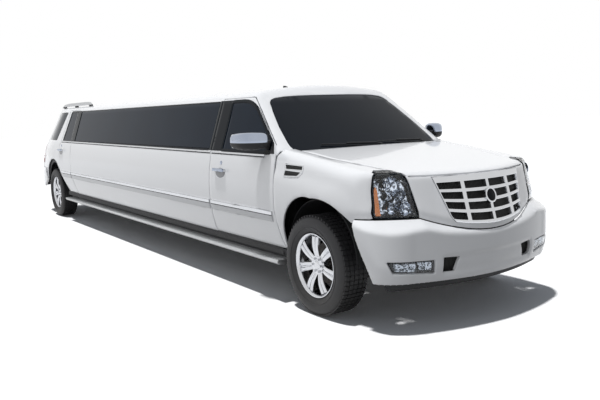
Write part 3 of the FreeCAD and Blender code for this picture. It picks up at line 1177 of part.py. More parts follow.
DIVIDER_Y = DOOR_R + 160
divider = block((-POST_OUT + 30, POST_OUT - 30), (DIVIDER_Y, DIVIDER_Y + 40), (FLOOR, 1240))
bench_in, BENCH_OUT = size("floor_half") - size("bench_depth"), POST_IN - LINE
bench_end = REAR - 640
bench_front = [(-BENCH_OUT, FLOOR), (-BENCH_OUT, 1290), (-BENCH_OUT + 110, 1290),
               (-BENCH_OUT + 150, 900), (-bench_in, 890), (-bench_in + 10, 850), (-bench_in - 20, FLOOR)]
long_bench = prism("front", bench_front, DIVIDER_Y + 40 + LINE, bench_end)
rear_bench = prism("side", [(bench_end - 560, FLOOR), (bench_end - 580, 850), (bench_end - 570, 890),
                            (bench_end - 150, 900), (bench_end - 110, 1290), (bench_end, 1290),
                            (bench_end, FLOOR)], -bench_in + LINE, BENCH_OUT)
keep("lounge_seats", Part.makeCompound([long_bench, rear_bench]))
cabinet = block((430, 800), (DIVIDER_Y + 40 + LINE, DIVIDER_Y + 2600), (FLOOR, 930))
keep("bar_cabinet", cabinet.fuse([block((410, 806), (DIVIDER_Y + 30 + 40, DIVIDER_Y + 2630), (930, 960))]))
keep("divider", divider)

doc.recompute()
failed = [item.Label for item in doc.Objects if "Invalid" in item.State or "Error" in item.State]
if failed:
    raise RuntimeError(f"failed objects: {failed}")
for node, item in nodes.items():
    if item.Shape.isNull() or not item.Shape.isValid():
        raise RuntimeError(f"{node} has no sound shape")
os.makedirs("parts", exist_ok=True)
for node, item in nodes.items():
    item.Shape.exportStep(os.path.join("parts", node + ".step"))
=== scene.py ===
"""Stretch limousine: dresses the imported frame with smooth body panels, glass, lamps, wheels,
trim and a furnished cabin.

Everything is in metres in the frame's axes: +Z up, the front faces -Y, +X is the vehicle's left
side. The body is one smooth solid given by limits (cross-section, nose, hood crown, windscreen,
tail). A panel is an outline, drawn from the side, the front, the back or above, that is landed on
that solid, given a wall and rounded along its edges.
"""
import json
import math

import bmesh
import bpy
import numpy as np
from bpy.props import FloatProperty, FloatVectorProperty, IntProperty, PointerProperty
from mathutils import Matrix, Vector
from mathutils.geometry import delaunay_2d_cdt


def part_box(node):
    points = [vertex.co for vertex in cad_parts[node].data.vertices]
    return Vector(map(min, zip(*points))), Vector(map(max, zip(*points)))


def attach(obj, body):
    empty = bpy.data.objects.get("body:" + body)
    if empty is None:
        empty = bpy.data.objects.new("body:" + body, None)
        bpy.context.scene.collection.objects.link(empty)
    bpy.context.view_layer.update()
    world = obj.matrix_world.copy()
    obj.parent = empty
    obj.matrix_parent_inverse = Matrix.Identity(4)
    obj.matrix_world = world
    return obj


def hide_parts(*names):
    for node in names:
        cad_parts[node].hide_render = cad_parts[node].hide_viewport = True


bl_info = {
    "name": "Stretch limousine",
    "version": (1, 0, 0),
    "blender": (4, 5, 0),
    "location": "View3D > Sidebar > Limousine",
    "description": "Builds the visible pieces of a stretch limousine around its packed frame",
    "category": "Add Mesh",
}

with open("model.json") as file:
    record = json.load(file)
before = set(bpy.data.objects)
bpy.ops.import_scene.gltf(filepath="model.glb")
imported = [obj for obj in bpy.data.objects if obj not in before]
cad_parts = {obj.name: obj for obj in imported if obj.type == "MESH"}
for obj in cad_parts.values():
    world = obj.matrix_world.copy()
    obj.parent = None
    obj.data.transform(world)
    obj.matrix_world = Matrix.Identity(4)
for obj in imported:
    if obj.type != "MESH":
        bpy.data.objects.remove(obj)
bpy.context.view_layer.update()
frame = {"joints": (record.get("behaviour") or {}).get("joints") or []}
JOINTS = {joint["name"]: joint for joint in frame["joints"]}

# ---------------------------------------------------------------- places
FRONT = JOINTS["steer_left"]["pos_m"][1]
REAR = JOINTS["spin_rear_left"]["pos_m"][1]
AXLE_Z = JOINTS["spin_rear_left"]["pos_m"][2]
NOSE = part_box("front_bumper")[0].y
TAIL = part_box("rear_bumper")[1].y
WIDE = 1.003
TOP = 1.857
BELT = 1.250
SILL = 0.468
KINK = 0.760
SEAM = 0.0068
PANE_LOW, PANE_TOP = 1.272, 1.722
FRAME_TOP = 1.750
DOOR_F, DOOR_F_LOW, DOOR_R = FRONT + 0.525, FRONT + 0.455, FRONT + 1.700
REAR_F, REAR_F_LOW, REAR_B = REAR - 1.038, REAR - 1.148, REAR - 0.400
FRONT_ARCH, REAR_ARCH = 0.940, 0.968
BUMPER_LOW, BUMPER_MID, BUMPER_SIDE = 0.380, 0.702, 0.824
HOOD_LIP = 1.116
GATE_LOW, GATE_SPLIT, GATE_HALF, GATE_TOP = 0.805, 1.190, 0.735, 1.778
GATE_SHOULDER, GATE_TAPER = BELT - 0.07, 0.215
COWL_Z, COWL_Y = 1.305, FRONT + 0.360


# ---------------------------------------------------------------- settings
class LimousineSizes(bpy.types.PropertyGroup):
    """Sizes and colours a user would change."""
    grid: FloatProperty(name="Panel grid", description="Spacing of the points on a body panel",
                        default=0.035, unit="LENGTH")
    panel_wall: FloatProperty(name="Panel wall", description="Thickness of a body skin",
                              default=0.012, unit="LENGTH")
    edge_round: FloatProperty(name="Edge rounding", description="Rounding along the shut lines",
                              default=0.003, unit="LENGTH")
    spokes: IntProperty(name="Spokes", description="Spokes of each wheel", default=7)
    tread_rows: IntProperty(name="Tread rows", description="Rows of tread blocks round a tyre",
                            default=64)
    board_ribs: IntProperty(name="Step ribs", description="Ribs across each running board",
                            default=150)
    paint: FloatVectorProperty(name="Paint", description="Body colour", subtype="COLOR", size=3,
                               default=(0.80, 0.81, 0.83))
    chrome: FloatVectorProperty(name="Chrome", description="Colour of bright metal",
                                subtype="COLOR", size=3, default=(0.62, 0.63, 0.65))
    hide: FloatVectorProperty(name="Leather", description="Colour of the seats", subtype="COLOR",
                              size=3, default=(0.045, 0.045, 0.05))


SIDES = (("left", 1), ("right", -1))


def settings():
    return bpy.context.scene.limousine


# ---------------------------------------------------------------- drawings
def arc_points(start, through, end, steps):
    """Points after the first of an arc through three points."""
    (ax, ay), (bx, by), (cx, cy) = start, through, end
    turn = 2 * (ax * (by - cy) + bx * (cy - ay) + cx * (ay - by))
    sa, sb, sc = ax * ax + ay * ay, bx * bx + by * by, cx * cx + cy * cy
    ux = (sa * (by - cy) + sb * (cy - ay) + sc * (ay - by)) / turn
    uy = (sa * (cx - bx) + sb * (ax - cx) + sc * (bx - ax)) / turn
    radius = math.hypot(ax - ux, ay - uy)
    first, middle, last = (math.atan2(y - uy, x - ux) for x, y in (start, through, end))
    whole = (last - first) % (2 * math.pi)
    if (middle - first) % (2 * math.pi) > whole:
        whole -= 2 * math.pi
    return [(ux + radius * math.cos(first + whole * i / steps),
             uy + radius * math.sin(first + whole * i / steps)) for i in range(1, steps + 1)]


def curve(path, steps=12):
    """Points of a path. A step of two numbers ends a line, and a step of four is an arc through
    its first point to its second."""
    points = [tuple(path[0][-2:])]
    for step in path[1:]:
        if len(step) == 4:
            points += arc_points(points[-1], step[:2], step[2:], steps)
        else:
            points.append(tuple(step))
    return points


def filleted(path, radius, steps=5):
    """Closed polygon with its corners rounded; radius is one number or one for each corner."""
    count = len(path)
    radii = [radius] * count if isinstance(radius, (int, float)) else radius
    out = []
    for i, corner in enumerate(path):
        here = np.array(corner)
        back, ahead = np.array(path[i - 1]) - here, np.array(path[(i + 1) % count]) - here
        reach = min(radii[i], 0.45 * np.linalg.norm(back), 0.45 * np.linalg.norm(ahead))
        if reach < 1e-4:
            out.append(tuple(here))
            continue
        start = here + back / np.linalg.norm(back) * reach
        end = here + ahead / np.linalg.norm(ahead) * reach
        for k in range(steps + 1):
            t = k / steps
            out.append(tuple((1 - t) ** 2 * start + 2 * t * (1 - t) * here + t * t * end))
    return out


def drawn_in(loop, margin):
    """Closed polygon moved inwards by a margin, or outwards if it is negative."""
    pts = np.array(loop)
    if (np.roll(pts, -1, 0)[:, 0] * pts[:, 1] - pts[:, 0] * np.roll(pts, -1, 0)[:, 1]).sum() > 0:
        pts = pts[::-1]
    ahead, back = np.roll(pts, -1, 0) - pts, pts - np.roll(pts, 1, 0)
    ahead /= np.maximum(np.linalg.norm(ahead, axis=1), 1e-9)[:, None]
    back /= np.maximum(np.linalg.norm(back, axis=1), 1e-9)[:, None]
    normal = np.stack([-(ahead + back)[:, 1], (ahead + back)[:, 0]], 1)
    normal /= np.maximum(np.linalg.norm(normal, axis=1), 1e-9)[:, None]
    lead = np.stack([-ahead[:, 1], ahead[:, 0]], 1)
    stretch = 1 / np.clip((normal * lead).sum(1), 0.5, 1)
    return [tuple(p) for p in pts + normal * stretch[:, None] * margin]


# ---------------------------------------------------------------- the body as a smooth solid
def line_of(path):
    """A limit: places, heights and slopes of a path whose first coordinate only grows."""
    pts = np.array(curve(path, 40))
    order = np.argsort(pts[:, 0], kind="stable")
    pts = pts[order]
    keep = np.concatenate([[True], np.diff(pts[:, 0]) > 1e-6])
    pts = pts[keep]
    return pts[:, 0], pts[:, 1], np.clip(np.gradient(pts[:, 1], pts[:, 0]), -4, 4)


def beyond(line, place, height):
    """How far a height lies past a limit, square to it."""
    limit = np.interp(place, line[0], line[1])
    slope = np.interp(place, line[0], line[2])
    return (height - limit) / np.sqrt(1 + slope * slope)


def blend(a, b, radius):
    """The larger of two limits, with the edge between them rounded."""
    near = np.maximum(radius - np.abs(a - b), 0) / radius
    return np.maximum(a, b) + near * near * radius / 4


SIDE = [(0.15, 0.898), (SILL, 0.938), (0.8, WIDE - 0.003, BELT, 0.962), (1.73, 0.8),
        (1.778, 0.758, 1.804, 0.70)]
SIDE_LINE = line_of(SIDE)
ROOF_LINE = line_of([(0, TOP), (0.35, 1.84375, 0.70, 1.804), (0.758, 1.778, 0.8, 1.73),
                     (0.962, BELT)])
BUMPER_LINE = line_of([(0, -NOSE), (WIDE - 0.643, -NOSE - 0.038, WIDE - 0.303, -NOSE - 0.128),
                       (WIDE - 0.098, -NOSE - 0.245, WIDE - 0.003, -NOSE - 0.450),
                       (WIDE + 0.027, -NOSE - 0.61)])
REAR_BUMPER_LINE = line_of([(0, TAIL), (0.38, TAIL - 0.013, 0.74, TAIL - 0.058),
                            (0.88, TAIL - 0.148, 0.935, TAIL - 0.328), (0.985, TAIL - 0.558),
                            (1.03, TAIL - 0.958)])
NOSE_LINE = line_of([(0, -NOSE - 0.005), (0.25, -NOSE - 0.03, 0.47, -NOSE - 0.095),
                     (0.70, -NOSE - 0.19, 0.86, -NOSE - 0.30),
                     (0.945, -NOSE - 0.39, 1.0, -NOSE - 0.57), (1.03, -NOSE - 0.69)])
CROWN_LINE = line_of([(0, 0), (0.43, -0.006, 0.84, -0.022), (0.935, -0.052, 0.968, -0.135),
                      (1.063, -0.33)])
NOSE_LEAN, NOSE_Z = 0.285, 0.720
HOOD_SLOPE = (COWL_Z - 1.132) / 1.228
SCREEN_LEAN, SCREEN_HALF, SCREEN_BOW = 1.402, 0.8, 0.115
SCREEN_RADIUS = (SCREEN_HALF ** 2 + SCREEN_BOW ** 2) / (2 * SCREEN_BOW)
HOOD_REAR, HOOD_HALF, HOOD_CORNER = FRONT + 0.29, 0.80, 0.622
# the tail's plan at three heights, from the middle to the side; the surface is ruled between them
TAIL_HEIGHTS = (GATE_LOW, GATE_SPLIT - 0.04, TOP + 0.023)
TAIL_PLANS = [np.array(curve(path, 14)) for path in (
    [(0, TAIL - 0.073), (0.38, TAIL - 0.082, 0.74, TAIL - 0.118),
     (0.89, TAIL - 0.198, 0.935, TAIL - 0.358), (1.06, REAR - 0.05)],
    [(0, TAIL - 0.103), (0.38, TAIL - 0.116, 0.72, TAIL - 0.168),
     (0.84, TAIL - 0.283, 0.886, TAIL - 0.463), (1.05, REAR - 0.15)],
    [(0, TAIL - 0.518), (0.26, TAIL - 0.536, 0.50, TAIL - 0.608),
     (0.60, TAIL - 0.748, 0.64, TAIL - 0.958), (0.88, REAR - 0.65)])]


def behind_tail(x, y, z):
    """How far a point lies behind the tail, square to it in plan."""
    low, middle, high = TAIL_HEIGHTS
    lower = np.clip((z - low) / (middle - low), 0, 1)[:, None, None]
    upper = np.clip((z - middle) / (high - middle), 0, 1.1)[:, None, None]
    foot, waist, head = TAIL_PLANS
    path = foot + (waist - foot) * lower + (head - waist) * upper
    row = np.arange(len(x))
    at = np.clip((path[:, :, 0] <= x[:, None]).sum(1) - 1, 0, path.shape[1] - 2)
    start, step = path[row, at], path[row, at + 1] - path[row, at]
    slope = step[:, 1] / np.maximum(step[:, 0], 1e-6)
    return (y - start[:, 1] - slope * (x - start[:, 0])) / np.sqrt(1 + slope * slope)


def screen_bow(x):
    """How far the windscreen's plan has run back at a distance from the middle."""
    return SCREEN_RADIUS - np.sqrt(SCREEN_RADIUS ** 2 - np.minimum(x, 1.2) ** 2)


def screen_foot(x, z):
    """The windscreen's place along the vehicle at a height."""
    return COWL_Y + screen_bow(x) + (z - COWL_Z) * SCREEN_LEAN


def gate_edge(z):
    """Half width of the liftgate at a height."""
    return GATE_HALF - GATE_TAPER * max(0.0, (z - GATE_SHOULDER) / (GATE_TOP - GATE_SHOULDER))


def section(x, z):
    return np.maximum(beyond(SIDE_LINE, z, x), beyond(ROOF_LINE, x, z))


def cabin(x, y, z):
    """Cabin and tail: limits of section, windscreen and tail."""
    x = np.abs(x)
    tail = behind_tail(x, y, z)
    screen = (screen_foot(x, z) - y) / math.sqrt(1 + SCREEN_LEAN ** 2)
    return blend(blend(section(x, z), tail, 0.05), screen, 0.035)


def bumper_seam(x):
    """Height of the line between the bumper and the nose panel, and under the headlamp."""
    return BUMPER_MID + (BUMPER_SIDE - BUMPER_MID) * np.minimum(np.abs(x) / 0.605, 1) ** 2


def ahead_of_nose(x, y, z):
    """How far a point lies ahead of the leaning nose, which draws back over the bumper."""
    drawn_back = 0.35 * np.clip(bumper_seam(x) + 0.05 - z, 0, 0.10)
    return beyond(NOSE_LINE, x, -(y - (z - NOSE_Z) * NOSE_LEAN)) * 0.96 + drawn_back


def nose(x, y, z):
    """Hood, fenders and nose panel: limits of section, leaning nose and crown."""
    x = np.abs(x)
    crown = beyond(CROWN_LINE, x, z - 1.132 - (y - FRONT + 0.868) * HOOD_SLOPE)
    return blend(blend(section(x, z), ahead_of_nose(x, y, z), 0.05), crown, 0.045)


def rise(value, start, end):
    """Smooth step from nothing to one."""
    t = np.clip((value - start) / (end - start), 0, 1)
    return t * t * (3 - 2 * t)


def bumper(x, y, z):
    """Both bumpers: limits of section and plan, drawn in towards their foot. The front one has a
    shelf up to the nose and a shallow recess between its air intakes."""
    x = np.abs(x)
    recess = rise(z, 0.400, 0.425) * (1 - rise(z, 0.535, 0.550)) * (1 - rise(x, 0.470, 0.495))
    front = beyond(BUMPER_LINE, x, -y) + 0.014 * recess
    tuck = 0.60 * np.maximum(0.50 - z, 0) ** 1.5
    rear = beyond(REAR_BUMPER_LINE, x, y) + 0.9 * np.maximum(z - 0.74, 0) ** 1.5
    shelf = (z - bumper_seam(x) + 0.75 * ahead_of_nose(x, y, z)) * 0.8
    outer = blend(section(x, z), np.maximum(front, rear) + tuck, 0.03)
    return blend(outer, np.where(y < 0, shelf, -1.0), 0.02)


# steps of the search for a surface, each of which halves the doubt
HALVINGS = 24
# drawings seen along an axis: the axes of their two coordinates, and the one that is searched
AXES = {"side": (1, 2, 0), "front": (0, 2, 1), "back": (0, 2, 1), "top": (0, 1, 2)}
# depths between which each drawing's surface is searched, from outside to inside
REACH = {"side": (1.3, 0.05), "front": (NOSE - 0.2, NOSE + 3.0), "back": (TAIL + 0.2, TAIL - 1.7),
         "top": (2.1, 0.7), "wrap": (1.9, 0.1), "wrap_back": (1.9, 0.1), "roll": (1.2, 0.05)}
WRAP_Y = FRONT - 0.35
WRAP_BACK = TAIL - 0.55
# the roll drawing turns about a line along the vehicle: arc length, then place along Y
ROLL_X, ROLL_Z, ROLL_ARM = 0.45, 0.75, 0.60


def place(view, u, v, depth):
    """Points in space of a drawing's points at a depth. The wrap drawings turn about an upright
    line: their first coordinate is the bearing from straight ahead (or back)."""
    if view in ("wrap", "wrap_back"):
        ahead, centre = (-1, WRAP_Y) if view == "wrap" else (1, WRAP_BACK)
        return np.stack([depth * np.sin(u), centre + ahead * depth * np.cos(u), v], 1)
    if view == "roll":
        turn = u / ROLL_ARM
        return np.stack([ROLL_X + depth * np.cos(turn), v, ROLL_Z + depth * np.sin(turn)], 1)
    out = np.zeros((len(u), 3))
    for axis, values in zip(AXES[view], (u, v, depth)):
        out[:, axis] = values
    return out


def land(solid, view, points):
    """Where a drawing's points fall on the solid's surface."""
    u, v = np.array(points, float).T
    far, near = (np.full(len(u), float(depth)) for depth in REACH[view])
    for _ in range(HALVINGS):
        middle = (far + near) / 2
        out = solid(*place(view, u, v, middle).T) > 0
        far, near = np.where(out, middle, far), np.where(out, near, middle)
    return place(view, u, v, near)


# ---------------------------------------------------------------- meshes
def within(points, loops):
    """Even-odd test of points against closed loops."""
    inside = np.zeros(len(points), bool)
    x, y = points[:, 0][:, None], points[:, 1][:, None]
    for loop in loops:
        a = np.array(loop)
        b = np.roll(a, -1, 0)
        spans = (a[:, 1] > y) != (b[:, 1] > y)
        with np.errstate(divide="ignore", invalid="ignore"):
            cross = a[:, 0] + (y - a[:, 1]) / (b[:, 1] - a[:, 1]) * (b[:, 0] - a[:, 0])
        inside ^= (spans & (x < cross)).sum(1) % 2 == 1
    return inside


def dense(loop, step, closed=True):
    """The loop, or an open path, with its long edges divided."""
    out = []
    for a, b in zip(loop, list(loop[1:]) + [loop[0]] * closed):
        pieces = max(1, math.ceil(math.dist(a, b) / step))
        out += [(a[0] + (b[0] - a[0]) * k / pieces, a[1] + (b[1] - a[1]) * k / pieces)
                for k in range(pieces)]
    return out if closed else out + [loop[-1]]


def fill(loops, step):
    """Triangles inside closed loops, on an even grid of points."""
    loops = [dense(loop, step) for loop in loops]
    edge_points = np.array([p for loop in loops for p in loop])
    low, high = edge_points.min(0), edge_points.max(0)
    grid = np.stack(np.meshgrid(*(np.arange(low[k] + step / 2, high[k], step) for k in (0, 1))), -1)
    grid = grid.reshape(-1, 2)
    grid = grid[within(grid, loops)]
    keep = np.ones(len(grid), bool)
    for start in range(0, len(edge_points), 64):
        some = edge_points[start:start + 64]
        keep &= np.linalg.norm(grid[:, None] - some[None], axis=2).min(1) > step * 0.45
    edges, count = [], 0
    for loop in loops:
        edges += [(count + i, count + (i + 1) % len(loop)) for i in range(len(loop))]
        count += len(loop)
    points = [Vector(p) for p in np.concatenate([edge_points, grid[keep]])]
    verts, _, faces, _, _, _ = delaunay_2d_cdt(points, edges, [], 0, 1e-7)
    verts, faces = np.array([tuple(v) for v in verts]), np.array(faces)
    return verts, faces[within(verts[faces].mean(1), loops)]


def mesh_object(name, verts, faces, material, smooth=True, angle=40):
    """Object of a mesh in place, with edges sharper than the angle kept crisp."""
    mesh = bpy.data.meshes.new(name)
    mesh.from_pydata([tuple(v) for v in verts], [], [tuple(f) for f in faces])
    mesh.validate()
    mesh.update()
    item = bpy.data.objects.new(name, mesh)
    bpy.context.scene.collection.objects.link(item)
    if smooth:
        mesh.polygons.foreach_set("use_smooth", [True] * len(mesh.polygons))
        mesh.set_sharp_from_angle(angle=math.radians(angle))
    if material:
        mesh.materials.append(material)
    return item


def vertex_normals(verts, faces):
    normal = np.zeros_like(verts)
    a, b, c = (verts[faces[:, k]] for k in range(3))
    cross = np.cross(b - a, c - a)
    for k in range(3):
        np.add.at(normal, faces[:, k], cross)
    return normal / np.maximum(np.linalg.norm(normal, axis=1), 1e-12)[:, None]


def walled(verts, faces, wall, round_edge):
    """Closed shell of a sheet: outer face, rounded rim, and an inner face a wall's depth in."""
    normal = vertex_normals(verts, faces)
    edges = {(f[k], f[(k + 1) % 3]): 1 for f in faces for k in range(3)}
    rim = [(a, b) for a, b in edges if (b, a) not in edges]
    rim_verts = sorted({a for e in rim for a in e})
    place_of = {v: i for i, v in enumerate(rim_verts)}
    # inward direction in the sheet at each rim point, for the rounding
    inward = np.zeros((len(rim_verts), 3))
    for a, b in rim:
        across = np.cross((normal[a] + normal[b]) / 2, verts[b] - verts[a])
        across /= max(np.linalg.norm(across), 1e-12)
        inward[place_of[a]] += across
        inward[place_of[b]] += across
    inward /= np.maximum(np.linalg.norm(inward, axis=1), 1e-12)[:, None]
    inward *= round_edge
    base, out = verts[rim_verts], normal[rim_verts]
    outer, inner = verts.copy(), verts - normal * wall
    outer[rim_verts] = base + inward
    inner[rim_verts] = base + inward - out * wall
    rings = [base + (inward - out * round_edge) * 0.3, base - out * round_edge, base - out * wall]
    count, ring = len(verts), len(rim_verts)
    levels = [np.array(rim_verts)] + [count + ring * k + np.arange(ring) for k in range(3)]
    levels.append(count + 3 * ring + np.array(rim_verts))
    made = [tuple(f) for f in faces] + [tuple(count + 3 * ring + f[::-1]) for f in faces]
    for a, b in rim:
        ia, ib = place_of[a], place_of[b]
        made += [(upper[ib], upper[ia], lower[ia], lower[ib])
                 for upper, lower in zip(levels, levels[1:])]
    return np.concatenate([outer] + rings + [inner]), made


def carried(item, body, stands_for=None):
    """Put a piece on its body; it may stand for a solid."""
    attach(item, body)
    if stands_for:
        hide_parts(stands_for)
    return item


def panel(name, body, slot, solid, view, loops, material, lift=0.0, wall=None, grid=None, edge=None,
          side=1, stands_for=None):
    """Closed piece of wall that covers an outline. Lift moves it out from the surface."""
    sizes = settings()
    drawn, faces = fill(loops, grid or sizes.grid)
    verts = land(solid, view, drawn)
    normal = vertex_normals(verts, faces)
    outside, inside = (place(view, *drawn.T, depth) for depth in REACH[view])
    if (normal * (outside - inside)).sum() < 0:
        faces, normal = faces[:, ::-1], -normal
    verts, faces = walled(verts + normal * lift, faces, wall or sizes.panel_wall,
                          sizes.edge_round if edge is None else edge)
    if side < 0:
        verts, faces = verts * (-1, 1, 1), [f[::-1] for f in faces]
    return carried(mesh_object(name, verts, faces, material), body, stands_for)


def pair(name, body, slot, *args, stands_for="", **kwargs):
    """The same panel on both sides of the vehicle, riding on its own body on each."""
    for word, side in SIDES:
        panel(f"{name}_{word}", body.replace("SIDE", word), slot, *args, side=side,
              stands_for=stands_for.replace("SIDE", word), **kwargs)


def grown(name, body, slot, data, material, side=1, shift=None, angle=40, bevel=0, segments=2,
          stands_for=None):
    """Object of mesh data that rides on a body, mirrored for a negative side, its edges rounded."""
    verts, faces = data
    if side < 0 or shift is not None:
        verts, faces = recalculated(verts * (side, 1, 1) + np.array(shift or (0, 0, 0)), faces)
    item = carried(mesh_object(name, verts, faces, material, angle=angle), body, stands_for)
    return finished(item, bevel, segments) if bevel else item


def grown_pair(name, body, slot, data, material, stands_for=None, **kwargs):
    """The same object on both sides; the left one may stand for a solid."""
    for word, side in SIDES:
        grown(f"{name}_{word}", body.replace("SIDE", word), slot, data, material, side=side,
              stands_for=stands_for if side > 0 else None, **kwargs)


def skinned(rings, closed=False):
    """Skin over rings of points: the last ring joins the first, or the ends are capped."""
    count, steps = len(rings[0]), len(rings)
    faces = []
    for k in range(steps if closed else steps - 1):
        a, b = k * count, (k + 1) % steps * count
        faces += [(a + i, a + (i + 1) % count, b + (i + 1) % count, b + i) for i in range(count)]
    if not closed:
        last = steps * count - 1
        faces += [tuple(range(count)), tuple(range(last, last - count, -1))]
    return recalculated(np.array(rings, float).reshape(-1, 3), faces)


def lathe(profile, steps, centre=(0, 0, 0), side=1):
    """Closed ring turned about the X axis: profile is a closed loop of (x, radius)."""
    turns = [2 * math.pi * k / steps for k in range(steps)]
    return skinned([[(centre[0] + side * x, centre[1] + r * math.sin(turn),
                      centre[2] + r * math.cos(turn)) for x, r in profile] for turn in turns], True)


def recalculated(verts, faces):
    """Merged mesh data whose faces point outwards."""
    work = bmesh.new()
    made = [work.verts.new(v) for v in verts]
    for face in faces:
        if len(set(face)) > 2:
            try:
                work.faces.new([made[i] for i in face])
            except ValueError:
                continue
    bmesh.ops.remove_doubles(work, verts=work.verts, dist=1e-6)
    bmesh.ops.recalc_face_normals(work, faces=work.faces)
    work.verts.index_update()
    verts = np.array([tuple(v.co) for v in work.verts])
    faces = [tuple(v.index for v in face.verts) for face in work.faces]
    work.free()
    return verts, faces


def merged(parts):
    """One set of mesh data from several."""
    verts, faces, count = [], [], 0
    for v, f in parts:
        verts.append(np.asarray(v, float))
        faces += [tuple(count + i for i in face) for face in f]
        count += len(v)
    return np.concatenate(verts), faces


def extruded(loop, low, high, axes=(1, 2, 0)):
    """Prism of a closed loop between two levels along the third axis."""
    rings = np.zeros((2, len(loop), 3))
    rings[:, :, axes[0]], rings[:, :, axes[1]] = np.array(loop).T
    rings[0, :, axes[2]], rings[1, :, axes[2]] = low, high
    return skinned(rings)


def rectangle(low, high, radius=0.0):
    """Closed loop between two corners, rounded."""
    loop = [(low[0], low[1]), (high[0], low[1]), (high[0], high[1]), (low[0], high[1])]
    return filleted(loop, radius) if radius else loop


def cuboid(low, high):
    """Box from its lowest and highest corners."""
    return extruded(rectangle(low[1:], high[1:]), low[0], high[0])


def tube(points, radius, sides=10):
    """Closed round bar along points; radius is one number or one for each point."""
    points = [np.array(p, float) for p in points]
    rings = []
    up = np.array((0.0, 0.0, 1.0))
    for i, p in enumerate(points):
        along = points[min(i + 1, len(points) - 1)] - points[max(i - 1, 0)]
        along /= np.linalg.norm(along)
        if abs(along @ up) > 0.95:
            up = np.array((1.0, 0.0, 0.0))
        first = np.cross(along, up)
        first /= np.linalg.norm(first)
        second = np.cross(along, first)
        r = radius[i] if isinstance(radius, (list, tuple)) else radius
        turns = [2 * math.pi * k / sides for k in range(sides)]
        rings.append([p + r * (first * math.cos(a) + second * math.sin(a)) for a in turns])
    return skinned(rings)


def hinge_arm(loop, axis, along, half_pin):
    """Flat arm across a hinge line, with a pin through the line at a point of it."""
    low, high = np.array(axis, float), np.array(axis, float)
    low[along] -= half_pin
    high[along] += half_pin
    axes = (1, 2, 0) if along == 0 else (0, 1, 2)
    half = 0.014
    return [extruded(loop, axis[along] - half, axis[along] + half, axes),
            tube([low, high], 0.008, 16)]


def finished(item, bevel=None, segments=2, subdivide=0, angle=35):
    """Round the edges of a piece, or subdivide it, and apply."""
    if bevel:
        rounding = item.modifiers.new("Rounding", "BEVEL")
        rounding.width, rounding.segments, rounding.limit_method = bevel, segments, "ANGLE"
        rounding.angle_limit = math.radians(angle)
        rounding.use_clamp_overlap = True
    if subdivide:
        smooth = item.modifiers.new("Smooth", "SUBSURF")
        smooth.levels = smooth.render_levels = subdivide
    result = item.evaluated_get(bpy.context.evaluated_depsgraph_get())
    mesh = bpy.data.meshes.new_from_object(result)
    item.modifiers.clear()
    item.data = mesh
    mesh.polygons.foreach_set("use_smooth", [True] * len(mesh.polygons))
    mesh.set_sharp_from_angle(angle=math.radians(50))
    return item


# ---------------------------------------------------------------- shared shader groups
def group_of(name, inputs, outputs, kind="ShaderNodeTree"):
    """Empty node group with named sockets: (name, type, default)."""
    tree = bpy.data.node_groups.new(name, kind)
    for label, socket_kind, *default in inputs:
        socket = tree.interface.new_socket(label, in_out="INPUT",
                                           socket_type="NodeSocket" + socket_kind)
        if default:
            socket.default_value = default[0]
    for label, socket_kind in outputs:
        tree.interface.new_socket(label, in_out="OUTPUT", socket_type="NodeSocket" + socket_kind)
    return tree, tree.nodes.new("NodeGroupInput"), tree.nodes.new("NodeGroupOutput")


def wire(tree, *links):
    """Join sockets: each link is (node, output, node, input)."""
    for source, out, target, into in links:
        tree.links.new(source.outputs[out], target.inputs[into])


def made_node(tree, kind, **values):
    """New node, with plain values on the sockets that are named."""
    node = tree.nodes.new(kind)
    for label, value in values.items():
        node.inputs[label.replace("_", " ")].default_value = value
    return node


def math_node(tree, operation, second=None, clamp=False):
    node = tree.nodes.new("ShaderNodeMath")
    node.operation, node.use_clamp = operation, clamp
    if second is not None:
        node.inputs[1].default_value = second
    return node


def mix_node(tree, blend="MIX", **values):
    """Colour mix, with plain values on the sockets that are named."""
    node = tree.nodes.new("ShaderNodeMix")
    node.data_type, node.blend_type = "RGBA", blend
    for label, value in values.items():
        node.inputs[label].default_value = value
    return node


def seen_directly(tree):
    """One for rays from the camera, in a reflection or through glass; nothing for other light."""
    path = tree.nodes.new("ShaderNodeLightPath")
    either, seen = math_node(tree, "MAXIMUM"), math_node(tree, "MAXIMUM")
    wire(tree, (path, "Is Camera Ray", either, 0), (path, "Is Glossy Ray", either, 1),
         (either, 0, seen, 0), (path, "Is Transmission Ray", seen, 1))
    return seen


def variation_group():
    """Broad tone changes and a fine grain, on Object coordinates."""
    tree, into, out = group_of("Surface variation",
                               [("Broad scale", "Float", 1.5), ("Fine scale", "Float", 300.0)],
                               [("Broad", "Float"), ("Fine", "Float")])
    coords = tree.nodes.new("ShaderNodeTexCoord")
    for label in ("Broad", "Fine"):
        noise = made_node(tree, "ShaderNodeTexNoise", Detail=4.0)
        wire(tree, (coords, "Object", noise, "Vector"), (into, label + " scale", noise, "Scale"),
             (noise, "Fac", out, label))
    return tree


